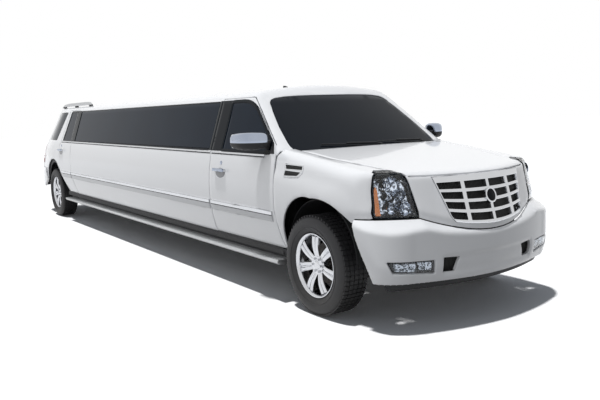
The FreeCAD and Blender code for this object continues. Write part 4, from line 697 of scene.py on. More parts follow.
def dust_and_shade_group():
    """Road dust that thickens towards the ground, broken up by noise. On the body paint it is also
    painted shade: the lower side darkened as if it mirrored the dark ground.
    """
    tree, into, out = group_of("Road dust", [("Clear above", "Float", 0.7),
                                             ("Amount", "Float", 0.5)], [("Mask", "Float")])
    coords = tree.nodes.new("ShaderNodeTexCoord")
    parts = tree.nodes.new("ShaderNodeSeparateXYZ")
    ramp = made_node(tree, "ShaderNodeMapRange", From_Min=0.1, To_Min=1.0, To_Max=0.0)
    noise = made_node(tree, "ShaderNodeTexNoise", Scale=9.0, Detail=6.0)
    mix, scale = math_node(tree, "MULTIPLY"), math_node(tree, "MULTIPLY", clamp=True)
    wire(tree, (coords, "Object", parts, 0), (parts, "Z", ramp, "Value"),
         (into, "Clear above", ramp, "From Max"), (coords, "Object", noise, "Vector"),
         (ramp, "Result", mix, 0), (noise, "Fac", mix, 1), (mix, 0, scale, 0),
         (into, "Amount", scale, 1), (scale, 0, out, "Mask"))
    return tree


def grain_group():
    """Leather grain: small rounded cells with creases between them."""
    tree, into, out = group_of("Hide grain", [("Scale", "Float", 260.0)], [("Height", "Float")])
    coords = tree.nodes.new("ShaderNodeTexCoord")
    cells = tree.nodes.new("ShaderNodeTexVoronoi")
    cells.feature = "DISTANCE_TO_EDGE"
    soft = made_node(tree, "ShaderNodeMapRange", From_Max=0.12)
    wire(tree, (coords, "Object", cells, "Vector"), (into, "Scale", cells, "Scale"),
         (cells, "Distance", soft, "Value"), (soft, "Result", out, "Height"))
    return tree


def ribs_group():
    """Even ribs along one axis, as a height."""
    tree, into, out = group_of("Ribs", [("Scale", "Float", 30.0)], [("Height", "Float")])
    coords = tree.nodes.new("ShaderNodeTexCoord")
    wave = tree.nodes.new("ShaderNodeTexWave")
    wave.bands_direction = "X"
    wire(tree, (coords, "Object", wave, "Vector"), (into, "Scale", wave, "Scale"),
         (wave, "Fac", out, "Height"))
    return tree


GROUPS = {}
FINISHES = {}


def place_group(tree, name, **values):
    """A shared group placed in a material with its own values."""
    makers = {"variation": variation_group, "dust": dust_and_shade_group, "grain": grain_group,
              "ribs": ribs_group}
    if name not in GROUPS:
        GROUPS[name] = makers[name]()
    node = tree.nodes.new("ShaderNodeGroup")
    node.node_tree = GROUPS[name]
    for label, value in values.items():
        node.inputs[label.replace("_", " ")].default_value = value
    return node


def finish_of(name, colour, rough, second=None, broad=1.5, fine=300.0, bump=0.02, depth=0.0005,
              dust=0.0, dust_and_shade_colour=(0.30, 0.28, 0.25), clear_above=0.7, grain=None, ribs=None,
              rough_spread=0.08, painted_reflections=False, **plain):
    """Procedural material: colour varies broadly between two tones, roughness and bump finely.
    Plain values go straight on the shader's own sockets."""
    if name in FINISHES:
        return FINISHES[name]
    material = FINISHES[name] = bpy.data.materials.new(name)
    material.use_nodes = True
    tree = material.node_tree
    shader = tree.nodes["Principled BSDF"]
    for label, value in plain.items():
        shader.inputs[label.replace("_", " ")].default_value = value
    varied = place_group(tree, "variation", Broad_scale=broad, Fine_scale=fine)
    second = second or tuple(c * 0.90 for c in colour)
    last = mix_node(tree, A=(*colour, 1), B=(*second, 1))
    # a sharp cut of the broad noise into patches of the two tones paints reflections, for the
    # lamps' reflectors
    if painted_reflections:
        reflection_patches = made_node(tree, "ShaderNodeMapRange", From_Min=0.43, From_Max=0.57)
        wire(tree, (varied, "Broad", reflection_patches, "Value"), (reflection_patches, "Result", last, "Factor"))
    else:
        wire(tree, (varied, "Broad", last, "Factor"))
    raised = (varied, "Fine")
    if grain or ribs:
        relief = place_group(tree, "grain" if grain else "ribs", Scale=grain or ribs)
        # the relief's height also darkens the colour: painted shade in the creases of leather grain
        # and between the ribs of grille mesh; on wood it draws the grain's own stripes
        shade = mix_node(tree, "MULTIPLY", Factor=0.5)
        wire(tree, (last, "Result", shade, "A"), (relief, "Height", shade, "B"))
        last, raised = shade, (relief, "Height")
    # colour mixed in towards the ground: road dust, and on the body paint also painted shade of the
    # lower side
    if dust:
        dust_and_shade_mask = place_group(tree, "dust", Clear_above=clear_above, Amount=dust)
        over = mix_node(tree, B=(*dust_and_shade_colour, 1))
        wire(tree, (last, "Result", over, "A"), (dust_and_shade_mask, "Mask", over, "Factor"))
        last = over
    spread = made_node(tree, "ShaderNodeMapRange", To_Min=max(rough - rough_spread / 2, 0),
                       To_Max=rough + rough_spread / 2)
    relief = made_node(tree, "ShaderNodeBump", Strength=bump, Distance=depth)
    wire(tree, (last, "Result", shader, "Base Color"), (varied, "Fine", spread, "Value"),
         (spread, "Result", shader, "Roughness"), (*raised, relief, "Height"),
         (relief, "Normal", shader, "Normal"))
    return material


def paint():
    colour = tuple(settings().paint)
    # the grey mixed in below the mouldings is partly painted shade: the lower body darkened as if
    # it mirrored the dark ground
    return finish_of("white body paint", colour, 0.32, tuple(c * 0.97 for c in colour), broad=0.8,
                     fine=900.0, bump=0.01, dust=0.22, dust_and_shade_colour=(0.42, 0.42, 0.42),
                     clear_above=0.75, Coat_Weight=0.8, Coat_Roughness=0.04, Specular_IOR_Level=0.4)


def chrome():
    colour = tuple(settings().chrome)
    return finish_of("bright chrome", colour, 0.10, tuple(c * 0.88 for c in colour), broad=6.0,
                     rough_spread=0.06, Metallic=1.0)


def tinted():
    return finish_of("tinted glass", (0.009, 0.018, 0.033), 0.03, (0.005, 0.010, 0.019), broad=2.0,
                     rough_spread=0.02, bump=0.004, Transmission_Weight=0.05, IOR=1.45,
                     Specular_IOR_Level=0.055)


def screen_glass():
    return finish_of("windscreen glass", (0.012, 0.016, 0.023), 0.02, (0.009, 0.012, 0.017),
                     rough_spread=0.01, bump=0.003, Transmission_Weight=0.20, IOR=1.45,
                     Specular_IOR_Level=0.012)


def lens():
    return finish_of("clear lens", (0.92, 0.94, 0.96), 0.03, (0.86, 0.89, 0.92), rough_spread=0.02,
                     bump=0.01, Transmission_Weight=1.0, IOR=1.3)


# The bright and dark patches of the reflectors are painted reflections.
def reflector():
    return finish_of("lamp reflector", (0.82, 0.86, 0.93), 0.13, (0.045, 0.055, 0.075), broad=46.0,
                     painted_reflections=True, bump=0.5, fine=70.0, depth=0.003, Metallic=1.0)


def fog_reflector():
    return finish_of("fog lamp reflector", (0.46, 0.48, 0.52), 0.2, (0.05, 0.055, 0.06), broad=60.0,
                     painted_reflections=True, bump=0.5, fine=70.0, depth=0.003, Metallic=1.0)


def amber():
    return finish_of("amber lens", (0.85, 0.26, 0.03), 0.12, (0.62, 0.15, 0.02), broad=20.0,
                     bump=0.2, fine=160.0, Coat_Weight=0.6)


def red_lens():
    return finish_of("red lens", (0.42, 0.006, 0.010), 0.10, (0.24, 0.003, 0.006), broad=14.0,
                     bump=0.25, fine=120.0, Specular_IOR_Level=0.3)


def gloss_black():
    return finish_of("gloss black trim", (0.007, 0.010, 0.014), 0.10, (0.005, 0.007, 0.010),
                     Specular_IOR_Level=0.06)


def trim():
    return finish_of("black plastic trim", (0.022, 0.023, 0.025), 0.55, (0.032, 0.032, 0.034),
                     fine=1500.0, bump=0.35, dust=0.20, dust_and_shade_colour=(0.07, 0.07, 0.065),
                     Specular_IOR_Level=0.25)


def rubber():
    return finish_of("tyre rubber", (0.008, 0.008, 0.010), 0.60, (0.014, 0.014, 0.015), broad=9.0,
                     fine=700.0, bump=0.3, dust=0.35, dust_and_shade_colour=(0.07, 0.066, 0.06),
                     clear_above=0.5)


def alloy():
    return finish_of("polished alloy", (0.66, 0.67, 0.69), 0.18, (0.52, 0.53, 0.56), broad=12.0,
                     rough_spread=0.1, dust=0.1, clear_above=0.4, Metallic=1.0)


def frame_black():
    return finish_of("frame black", (0.018, 0.018, 0.019), 0.6, (0.035, 0.032, 0.029), broad=5.0,
                     fine=400.0, bump=0.3, dust=0.5, dust_and_shade_colour=(0.13, 0.11, 0.09))


def iron():
    return finish_of("cast iron", (0.16, 0.155, 0.15), 0.62, (0.10, 0.085, 0.075), broad=14.0,
                     fine=350.0, bump=0.5, Metallic=0.6)


def step_metal():
    return finish_of("step silver", (0.60, 0.61, 0.62), 0.36, (0.45, 0.46, 0.47), broad=7.0,
                     fine=500.0, bump=0.2, Metallic=0.7, dust=0.35, clear_above=0.6)


def leather():
    colour = tuple(settings().hide)
    return finish_of("seat leather", colour, 0.46, tuple(c * 1.35 for c in colour), grain=240.0,
                     bump=0.35, Sheen_Weight=0.15)


def carpet():
    return finish_of("floor carpet", (0.03, 0.03, 0.032), 0.95, (0.045, 0.044, 0.044), broad=8.0,
                     fine=900.0, bump=0.8, depth=0.002, Sheen_Weight=0.3)


def lining():
    return finish_of("grey interior trim", (0.16, 0.16, 0.165), 0.75, (0.13, 0.13, 0.135),
                     fine=1100.0, bump=0.4)


def wood():
    return finish_of("bar wood", (0.16, 0.065, 0.028), 0.28, (0.08, 0.028, 0.012), broad=5.0,
                     ribs=14.0, bump=0.05, Coat_Weight=0.6)


# ---------------------------------------------------------------- outlines of the side
PILLAR = [(0.533, 1.262), (0.577, 1.338), (0.722, 1.45), (0.905, 1.592), (1.046, 1.70)]


def pillar(setback=0.0):
    """Front door's edge along the windscreen pillar, lowest point first."""
    return [(FRONT + y - setback * 0.7, z + setback * 0.7) for y, z in PILLAR]


def front_door_path():
    return ([(DOOR_F_LOW, SILL), (DOOR_F, KINK), (DOOR_F, 1.235)] + pillar()
            + [(FRONT + 1.118, FRAME_TOP), (DOOR_R, FRAME_TOP), (DOOR_R, SILL)])


def rear_door_path():
    return [(REAR_F_LOW, SILL), (REAR_F, KINK), (REAR_F, FRAME_TOP), (REAR_B - 0.190, FRAME_TOP),
            (REAR_B - 0.070, BELT + 0.020), (REAR_B, BELT - 0.060), (REAR_B, REAR_ARCH - 0.172),
            (REAR_B - 0.077, REAR_ARCH - 0.265), (REAR_B - 0.300, REAR_ARCH - 0.488),
            (REAR_B - 0.312, SILL)]


LONG_F, LONG_R = DOOR_R + SEAM, REAR_F - SEAM
FRONT_WINDOW = [(FRONT + 0.622, PANE_LOW), (FRONT + 0.622, 1.345), (FRONT + 0.680, 1.389),
                (FRONT + 0.791, 1.478), (FRONT + 0.921, 1.578), (FRONT + 1.013, 1.646),
                (FRONT + 1.072, 1.678), (FRONT + 1.145, 1.704), (FRONT + 1.215, 1.717),
                (FRONT + 1.30, PANE_TOP), (DOOR_R - 0.20, PANE_TOP), (DOOR_R - 0.20, PANE_LOW)]
REAR_WINDOW = [(REAR_F + 0.04, PANE_LOW), (REAR_F + 0.04, PANE_TOP), (REAR_B - 0.274, PANE_TOP),
               (REAR_B - 0.155, PANE_LOW)]
LONG_WINDOW = [(LONG_F + 0.05, PANE_LOW), (LONG_F + 0.05, PANE_TOP), (LONG_R - 0.15, PANE_TOP),
               (LONG_R - 0.15, PANE_LOW)]
QUARTER_WINDOW = [(REAR - 0.185, PANE_LOW + 0.018), (REAR - 0.450, PANE_TOP - 0.007),
                  (REAR + 0.120, PANE_TOP - 0.007), (REAR + 0.490, PANE_LOW + 0.018)]
ARCH_FRONT = curve([(FRONT + 0.420, 0.30), (FRONT + 0.420, FRONT_ARCH - 0.380),
                    (FRONT + 0.305, FRONT_ARCH - 0.092, FRONT - 0.010, FRONT_ARCH),
                    (FRONT - 0.290, FRONT_ARCH - 0.035, FRONT - 0.470, FRONT_ARCH - 0.142),
                    (FRONT - 0.534, FRONT_ARCH - 0.242), (FRONT - 0.664, FRONT_ARCH - 0.480),
                    (FRONT - 0.700, 0.30)])
ARCH_REAR = curve([(REAR + 0.470, 0.30), (REAR + 0.470, REAR_ARCH - 0.400),
                   (REAR + 0.265, REAR_ARCH - 0.092, REAR - 0.020, REAR_ARCH),
                   (REAR - 0.210, REAR_ARCH - 0.025, REAR - 0.360, REAR_ARCH - 0.138),
                   (REAR - 0.477, REAR_ARCH - 0.265), (REAR - 0.700, REAR_ARCH - 0.488),
                   (REAR - 0.720, 0.30)])
GLASS_ROUND = 0.022
LAMP_INNER = [(0.606, 0.830), (0.640, 1.077), (0.654, 1.142)]
LAMP_OUTER = [(0.690, 1.157), (0.765, 1.160), (0.818, 1.148), (0.848, 1.115), (0.868, 1.031),
              (0.878, 0.930), (0.879, 0.832)]


def bumper_top_path(margin=0.0):
    """Line between bumper and nose panel, from the middle to the side, seen from the front."""
    return [(x, bumper_seam(x) + margin) for x in np.linspace(0, 0.602, 16)]


GRILLE_TOP, GRILLE_CELLS = HOOD_LIP - SEAM, 1.062


def grille_side(z):
    """Half width of the grille's cells at a height."""
    return 0.374 + 0.29 * (z - 0.821)


def grille_level(x, down):
    """Height of a line across the grille: its bars sag more the lower they are."""
    return GRILLE_CELLS - down * (1 + 0.21 * (1 - (x / 0.45) ** 2))


def grille_half(margin=0.0):
    """Half of the grille's edge seen from the front, from the middle of its foot up."""
    foot = [(x, grille_level(x, 0.263) - margin) for x in np.linspace(0, 0.350, 9)]
    top = GRILLE_TOP + margin
    edge = [(grille_side(z) + 0.010 + margin, z) for z in (0.822, top - 0.004)]
    return foot + edge + [(0, top + 0.002)]


def screen_edge(margin=0.0):
    """Half of the windscreen's edge seen from the front, from the middle of its top down."""
    edge = [(0, 1.758), (0.20, 1.758), (0.38, 1.756), (0.52, 1.750), (0.62, 1.738), (0.668, 1.723),
            (0.697, 1.697), (0.745, 1.594), (0.789, 1.478), (0.820, 1.350), (0.822, 1.318),
            (0.812, 1.290), (0.790, 1.272)]
    return [(x + margin * min(1, x / 0.5), z + margin * min(1, (z - 1.272) / 0.4)) for x, z in edge]


def mirrored_loop(half):
    """Closed loop from its +X half, which starts and ends on the middle line."""
    return half + [(-x, z) for x, z in half[::-1] if x > 1e-6]


def on_bearings(solid, points):
    """Front-view points that fall on a solid, as bearings and heights."""
    return [(math.atan2(p[0], WRAP_Y - p[1]), p[2]) for p in land(solid, "front", points)]


def lamp_loop(margin=0.0):
    """The headlamp's outline on the nose, in bearings and heights."""
    outline = on_bearings(nose, LAMP_INNER + LAMP_OUTER)
    return drawn_in(filleted(outline, 0.018), margin)


def roll_points(points):
    """Roll drawing's coordinates of points in space."""
    points = np.asarray(points)
    return [(ROLL_ARM * math.atan2(z - ROLL_Z, x - ROLL_X), y) for x, y, z in points]


# ---------------------------------------------------------------- operators: body
class Piece(bpy.types.Operator):
    """Base of the operators that build pieces."""
    bl_idname = "limousine.piece"
    bl_label = "Piece"
    bl_options = {"REGISTER", "UNDO"}

    def execute(self, context):
        self.build()
        return {"FINISHED"}

    def build(self):
        raise NotImplementedError


class BuildDoors(Piece):
    """Four doors: painted skins, inner panels, hinge arms and window trim."""
    bl_idname = "limousine.doors"
    bl_label = "Doors"

    def build(self):
        doors = [("front", front_door_path(), FRONT_WINDOW),
                 ("rear", rear_door_path(), REAR_WINDOW)]
        for name, path, window in doors:
            body = f"{name}_door_SIDE"
            opening = filleted(window, GLASS_ROUND)
            pair(f"{name}_door_skin", body, "body_paint", cabin, "side",
                 [filleted(path, 0.012), drawn_in(opening, -0.012)], paint(), stands_for=body)
            pair(f"{name}_door_seal", body, "black_trim", cabin, "side",
                 [drawn_in(opening, -0.0192), drawn_in(opening, 0.012)], gloss_black(), lift=0.001,
                 edge=0.0012)
            pair(f"{name}_door_pane", body, "tinted_glass", cabin, "side",
                 [drawn_in(opening, 0.004)], tinted(), lift=-0.003, wall=0.005, edge=0.001,
                 stands_for=f"{name}_door_glass_SIDE")
            self.inside(name, body, path, opening)

    def inside(self, name, body, path, opening):
        """Inner panel with its arm rest, and the gooseneck hinge arms."""
        edge_y = DOOR_F if name == "front" else REAR_F
        low = [(max(y, edge_y), min(z, BELT - 0.02)) for y, z in path]
        low = [p for i, p in enumerate(low) if p != low[i - 1]]
        pair(f"{name}_door_lining", body, "interior_grey", cabin, "side",
             [filleted(drawn_in(low, 0.03), 0.03)], lining(), lift=-0.055, wall=0.035, edge=0.008)
        front, back = edge_y + 0.16, max(p[0] for p in low) - 0.12
        rest = filleted([(front, 0.80), (front, 0.86), (back, 0.90), (back, 0.84)], 0.02)
        pair(f"{name}_door_arm_rest", body, "seat_leather", cabin, "side", [rest], leather(),
             lift=-0.090, wall=0.035, edge=0.010)
        pair(f"{name}_window_frame", body, "black_trim", cabin, "side",
             [drawn_in(opening, -0.024), drawn_in(opening, 0.006)], trim(), lift=-0.0125,
             wall=0.016, edge=0.002)
        hinge = JOINTS[f"{name}_door_left_hinge"]["pos_m"]
        arms = []
        for z in (0.880, 1.110):
            x = hinge[0] - (z - 0.8) * math.tan(math.radians(5))
            loop = [(x + out / 1000, hinge[1] + along / 1000) for out, along in (
                (6, -5), (-42, 17), (-62, 38), (-54, 64), (-22, 108), (-48, 108), (-76, 80),
                (-84, 46), (-70, 14), (-4, -6))]
            arms += hinge_arm(loop, (x, hinge[1], z), 2, 0.018)
        grown_pair(f"{name}_door_hinge_arms", body, "bare_iron", merged(arms), iron(), bevel=0.002)


class BuildSides(Piece):
    """Long fixed sides, quarter panels, their glass, and what closes the rear wheel arches."""
    bl_idname = "limousine.sides"
    bl_label = "Sides"

    def build(self):
        foot, top = SILL - 0.004, FRAME_TOP + SEAM
        outline = [(LONG_F, foot), (LONG_F, top), (LONG_R, top), (LONG_R, KINK - 0.003),
                   (REAR_F_LOW - SEAM, SILL), (REAR_F_LOW - SEAM, foot)]
        self.side("long", "long_side", outline, filleted(LONG_WINDOW, GLASS_ROUND), "long_sides")
        arch = [p for p in ARCH_REAR if REAR_B + SEAM < p[0] and p[1] >= 0.62]
        outline = [(REAR_B + SEAM, REAR_ARCH - 0.161), (REAR_B + SEAM, BELT - 0.055),
                   (REAR_B - 0.058, BELT + 0.023), (REAR_B - 0.178, top), *self.tail_edge(top),
                   (REAR + 0.522, GATE_LOW - SEAM), (REAR + 0.47, 0.62), *arch]
        opening = filleted(QUARTER_WINDOW, GLASS_ROUND)
        self.side("quarter", "quarter_panel", outline, opening, "quarter_panels", grid=0.026)
        pair("quarter_backing", "shell", "interior_grey", cabin, "side",
             [outline, drawn_in(opening, -0.034)], trim(), lift=-settings().panel_wall - 0.001,
             wall=0.006, edge=0.001, grid=0.04)
        # flange and band from the rear wheel arches to their liners, and the arches' back
        pair("rear_arch_flange", "shell", "black_trim", cabin, "side",
             [self.along_arch(-0.03, 0.06)], trim(), lift=-0.028, wall=0.006, edge=0.001)
        grown_pair("rear_arch_band", "shell", "black_trim",
                   extruded(self.along_arch(-0.014, -0.004), 0.86, 0.962), trim())
        grown_pair("rear_arch_back", "shell", "black_trim",
                   cuboid((0.58, TAIL - 0.26, 0.55), (0.82, TAIL - 0.245, 0.885)), trim())

    def side(self, name, skin, outline, opening, node, **kwargs):
        """A fixed side's skin, with the seal and the pane of its window."""
        pair(skin, "shell", "body_paint", cabin, "side", [outline, drawn_in(opening, -0.012)],
             paint(), edge=0.002, stands_for=node, **kwargs)
        pair(f"{name}_window_seal", "shell", "black_trim", cabin, "side",
             [drawn_in(opening, -0.014), drawn_in(opening, 0.014)], gloss_black(), lift=-0.003,
             edge=0.0015)
        pair(f"{name}_pane", "shell", "tinted_glass", cabin, "side", [drawn_in(opening, 0.004)],
             tinted(), lift=-0.003, wall=0.005, edge=0.001, stands_for="fixed_side_glass")

    def along_arch(self, *margins):
        """Strip that follows the rear wheel arch between two margins."""
        rim, inside = ([p for p in drawn_in(ARCH_REAR, m) if p[1] > 0.52] for m in margins)
        return rim + inside[::-1]

    def tail_edge(self, top):
        """Rear edge of the quarter panel, along the liftgate and round the tail lamp."""
        gate = land(cabin, "back", [(gate_edge(z) + SEAM, z) for z in np.linspace(top, 1.218, 16)])
        foot = land(cabin, "back", [(GATE_HALF + SEAM, 0.868), (GATE_HALF + SEAM, GATE_LOW - SEAM)])
        front = TAIL - 0.355
        return ([(p[1], p[2]) for p in gate]
                + [(front + 0.012, 1.218), (front, 1.20), (front, 0.886), (front + 0.012, 0.868)]
                + [(p[1], p[2]) for p in foot])


class BuildFront(Piece):
    """Fenders, hood, nose panel, roof and windscreen."""
    bl_idname = "limousine.front"
    bl_label = "Front body and roof"

    def build(self):
        self.fenders()
        self.hood()
        self.nose_panel()
        self.roof()

    def hood_edge(self, margin):
        """Half of the hood's side edge in plan, from its front corner back."""
        side, corner = HOOD_HALF + margin, HOOD_CORNER + margin
        rear = HOOD_REAR + margin + screen_bow(side) * 0.7
        return [(corner, NOSE + 0.22), (corner + 0.030, NOSE + 0.35),
                (side - 0.02, HOOD_REAR - 0.30), (side, rear)]

    def fenders(self):
        """One outline over the crown and down the side, drawn rolled about a line along the
        vehicle: hood seam, pillar foot, door seam, arch, bumper seam and lamp."""
        pillar_foot = [(x, screen_foot(x, z) - 0.004)
                       for x, z in ((HOOD_HALF + SEAM, 1.297), (0.93, 1.289))]
        edge = [(0.660, NOSE + 0.32)] + self.hood_edge(SEAM)[1:] + pillar_foot
        upper = land(nose, "top", dense(edge, 0.05, closed=False))
        side = [(DOOR_F - 0.014, 1.254), (DOOR_F - SEAM, 1.243), (DOOR_F - SEAM, KINK + 0.003),
                (DOOR_F_LOW - SEAM, SILL), (ARCH_FRONT[0][0], SILL)]
        side += [p for p in ARCH_FRONT if p[1] > SILL and p[0] > FRONT - 0.48]
        side += [(FRONT - 0.493, 0.795), (FRONT - 0.505, BUMPER_SIDE + 0.004),
                 (FRONT - 0.60, BUMPER_SIDE + 0.004)]
        lower = land(nose, "side", dense(side, 0.05, closed=False))
        lamp = land(nose, "front", [(x + 0.006, z) for x, z in LAMP_OUTER[:1:-1]]
                    + [(0.826, 1.154), (0.767, 1.166), (0.688, 1.163)])
        loop = roll_points(upper) + roll_points(lower) + roll_points(lamp)
        pair("fender", "shell", "body_paint", nose, "roll", [loop], paint(), edge=0.002, grid=0.03,
             stands_for="front_fenders")

    def hood(self):
        edge, rear = self.hood_edge(0), HOOD_REAR
        lip = land(nose, "front", [(x, HOOD_LIP + 0.004 + 0.006 * (x / 0.632) ** 2)
                                   for x in np.linspace(0, 0.628, 12)])
        half = [(p[0], p[1]) for p in lip] + edge
        back = [(x, rear + screen_bow(x) * 0.7) for x in np.linspace(HOOD_HALF, 0, 12)[1:]]
        loop = mirrored_loop(half + back)
        panel("hood_skin", "hood", "body_paint", nose, "top", [loop], paint(), wall=0.014,
              edge=0.004, stands_for="hood")
        arms = []
        axis = JOINTS["hood_hinge"]["pos_m"]
        for x in (0.71, -0.71):
            loop = [(axis[1] + b / 1000, axis[2] + u / 1000) for b, u in (
                (-120, -34), (-50, -28), (2, -7), (-2, 7), (-52, -8), (-120, -14))]
            arms += hinge_arm(loop, (x, *axis[1:]), 0, 0.014)
        grown("hood_hinge_arms", "hood", "bare_iron", merged(arms), iron(), bevel=0.002)
        stiff = mirrored_loop([(0, NOSE + 0.30), (0.52, NOSE + 0.36), (0.66, rear - 0.25),
                               (0.55, rear - 0.05), (0, rear - 0.08)])
        holes = [filleted([(s * 0.06, NOSE + 0.42), (s * 0.44, NOSE + 0.46),
                           (s * 0.52, rear - 0.32), (s * 0.06, rear - 0.22)], 0.06)
                 for s in (1, -1)]
        panel("hood_stiffener", "hood", "black_trim", nose, "top", [filleted(stiff, 0.04)] + holes,
              trim(), lift=-0.0145, wall=0.012, edge=0.004)

    def nose_panel(self):
        bottom = bumper_top_path(0.004)
        beside_lamp = [(LAMP_INNER[1][0] - 0.004, LAMP_INNER[1][1]), (0.646, 1.125)]
        half = bottom + beside_lamp + [(0.640, HOOD_LIP + 0.004), (0.62, HOOD_LIP - SEAM + 0.006),
                                       (0.30, HOOD_LIP - SEAM + 0.0015), (0, HOOD_LIP - SEAM)]
        grille = mirrored_loop(grille_half(0.0012))
        panel("nose_skin", "shell", "body_paint", nose, "front", [mirrored_loop(half), grille],
              paint(), edge=0.002, grid=0.025, stands_for="nose_panel")

    def roof(self):
        """Roof with its windscreen pillars, and the windscreen."""
        top = FRAME_TOP + SEAM
        door = [(DOOR_F - 0.014, 1.252)] + pillar(SEAM) + [(FRONT + 1.114, top)]
        side = land(cabin, "side", dense(door, 0.04, closed=False)
                    + [(y, top) for y in np.linspace(FRONT + 1.2, TAIL - 0.90, 40)])
        corner = land(cabin, "back", [(x, top) for x in np.linspace(side[-1][0] - 0.012, 0.545, 8)])
        gate = land(cabin, "back", [(0.537, 1.770), (0.525, 1.785)]
                    + [(x, 1.789) for x in np.linspace(0.50, 0, 10)])
        front = land(cabin, "front", dense(screen_edge(0.003), 0.04, closed=False))
        half = [tuple(p[:2]) for points in (front, side, corner, gate) for p in points]
        loop = mirrored_loop(half)
        panel("roof_skin", "shell", "body_paint", cabin, "top", [loop], paint(), wall=0.014,
              edge=0.003, grid=0.036, stands_for="roof_shell")
        panel("roof_lining", "shell", "interior_grey", cabin, "top", [drawn_in(loop, 0.03)],
              lining(), lift=-0.030, wall=0.01, edge=0.002, grid=0.08)
        loop = mirrored_loop(screen_edge() + [(0, 1.270)])
        panel("windscreen_pane", "shell", "clear_glass", cabin, "front", [loop], screen_glass(),
              lift=-0.004, wall=0.006, edge=0.001, grid=0.05, stands_for="windscreen")
        panel("windscreen_band", "shell", "black_trim", cabin, "front",
              [drawn_in(loop, 0.001), drawn_in(loop, 0.030)], gloss_black(), lift=-0.011,
              wall=0.003, edge=0.001, grid=0.05)


class BuildRear(Piece):
    """Liftgate with its pane and handle, tail lamps and rear bumper."""
    bl_idname = "limousine.rear"
    bl_label = "Rear"

    def build(self):
        gate_half = [(0, GATE_LOW), (GATE_HALF, GATE_LOW), (GATE_HALF, GATE_SHOULDER),
                     (GATE_HALF - GATE_TAPER, GATE_TOP), (0, GATE_TOP)]
        pane_half = [(0, GATE_SPLIT), (GATE_HALF - 0.075, GATE_SPLIT),
                     (GATE_HALF - 0.265, GATE_TOP - 0.07), (0, GATE_TOP - 0.07)]
        gate = filleted(mirrored_loop(gate_half), 0.012)
        opening = filleted(mirrored_loop(pane_half), 0.04)
        recess = rectangle((-0.30, 0.90), (0.30, 1.06), 0.02)
        self.back("skin", "body_paint", [gate, opening, recess], paint(), edge=0.004,
                  stands_for="liftgate")
        self.back("pane", "tinted_glass", [drawn_in(opening, 0.003)], tinted(), lift=-0.004,
                  wall=0.005, edge=0.001, stands_for="liftgate_glass")
        self.back("pane_band", "black_trim", [drawn_in(opening, 0.004), drawn_in(opening, 0.05)],
                  gloss_black(), lift=-0.0095, wall=0.004, edge=0.001)
        self.back("plate_recess", "black_trim", [drawn_in(recess, -0.010)], trim(), lift=-0.020,
                  wall=0.006, edge=0.001)
        self.back("plate", "interior_grey", [rectangle((-0.155, 0.935), (0.155, 1.012), 0.008)],
                  blank_plate(), lift=-0.012, wall=0.003, edge=0.001)
        self.back("handle_bar", "chrome", [rectangle((-0.32, 1.075), (0.32, 1.118), 0.015)],
                  chrome(), lift=0.014, wall=0.022, edge=0.007, grid=0.02)
        self.back("lining", "interior_grey", [drawn_in(gate, 0.045), drawn_in(opening, -0.03)],
                  lining(), lift=-0.022, wall=0.012, edge=0.003)
        self.hinges()
        self.lamps()
        self.bumper()

    def back(self, name, slot, *args, **kwargs):
        """Panel of the liftgate."""
        panel("liftgate_" + name, "liftgate", slot, cabin, "back", *args, **kwargs)

    def hinges(self):
        axis = JOINTS["liftgate_hinge"]["pos_m"]
        slope = math.atan2(0.415, 0.730)
        loop = [(axis[1] + (out * math.cos(slope) + down * math.sin(slope)) / 1000,
                 axis[2] + (out * math.sin(slope) - down * math.cos(slope)) / 1000)
                for out, down in ((7, -4), (-46, 8), (-60, 20), (-60, 50), (-12, 90), (-12, 120),
                                  (-74, 66), (-76, 14), (-52, -6), (-6, -7))]
        arms = [part for x in (-0.30, 0.30) for part in hinge_arm(loop, (x, *axis[1:]), 0, 0.014)]
        grown("liftgate_hinge_arms", "liftgate", "bare_iron", merged(arms), iron(), bevel=0.002)

    def lamps(self):
        front = TAIL - 0.352
        edge = [(p[1], p[2]) for p in
                land(cabin, "back", [(0.749, z) for z in np.linspace(0.872, 1.214, 8)])]
        full = edge + [(front + 0.012, 1.214), (front, 1.20), (front, 0.888),
                       (front + 0.012, 0.872)]
        pair("tail_lamp_cover", "shell", "lamp_red", cabin, "side", [full], red_lens(), lift=0.004,
             wall=0.012, edge=0.003, grid=0.02, stands_for="tail_lamps")
        low, high = 0.985, 1.065
        edge = [(p[1], p[2]) for p in
                land(cabin, "back", [(0.755, z) for z in np.linspace(low, high, 4)])]
        band = edge + [(front + 0.05, high), (front + 0.05, low)]
        pair("tail_lamp_reverse_lens", "shell", "lamp_clear", cabin, "side",
             [filleted(band, 0.008)], lens(), lift=0.0065, wall=0.004, edge=0.001, grid=0.02)

    def bumper(self):
        low, high = BUMPER_LOW + 0.06, GATE_LOW - SEAM - 0.001
        ends = land(bumper, "side", [(REAR + 0.486, low), (REAR + 0.526, high)])
        turns = [math.atan2(p[0], p[1] - WRAP_BACK) for p in ends]
        half = [(turns[0] - 0.45, low), (turns[0] - 0.03, 0.60), (turns[1], high)]
        loop = half + [(-u, z) for u, z in half[::-1]]
        panel("rear_bumper_skin", "shell", "body_paint", bumper, "wrap_back", [dense(loop, 0.05)],
              paint(), edge=0.010, wall=0.03, grid=0.035, stands_for="rear_bumper")
        panel("rear_bumper_step", "shell", "black_trim", bumper, "wrap_back",
              [rectangle((-0.86, 0.735), (0.86, 0.775), 0.015)], trim(), lift=0.002, wall=0.010,
              edge=0.004, grid=0.03)
        for word, side in SIDES:
            lamp = filleted([(side * 0.62, 0.56), (side * 0.86, 0.57), (side * 0.86, 0.63),
                             (side * 0.62, 0.62)], 0.02)
            panel(f"rear_bumper_reflector_{word}", "shell", "lamp_red", bumper, "wrap_back", [lamp],
                  red_lens(), lift=0.001, wall=0.008, edge=0.003, grid=0.02)


def blank_plate():
    return finish_of("blank plate", (0.62, 0.62, 0.60), 0.45, (0.55, 0.55, 0.53), fine=600.0,
                     bump=0.1, dust=0.3, clear_above=1.4)


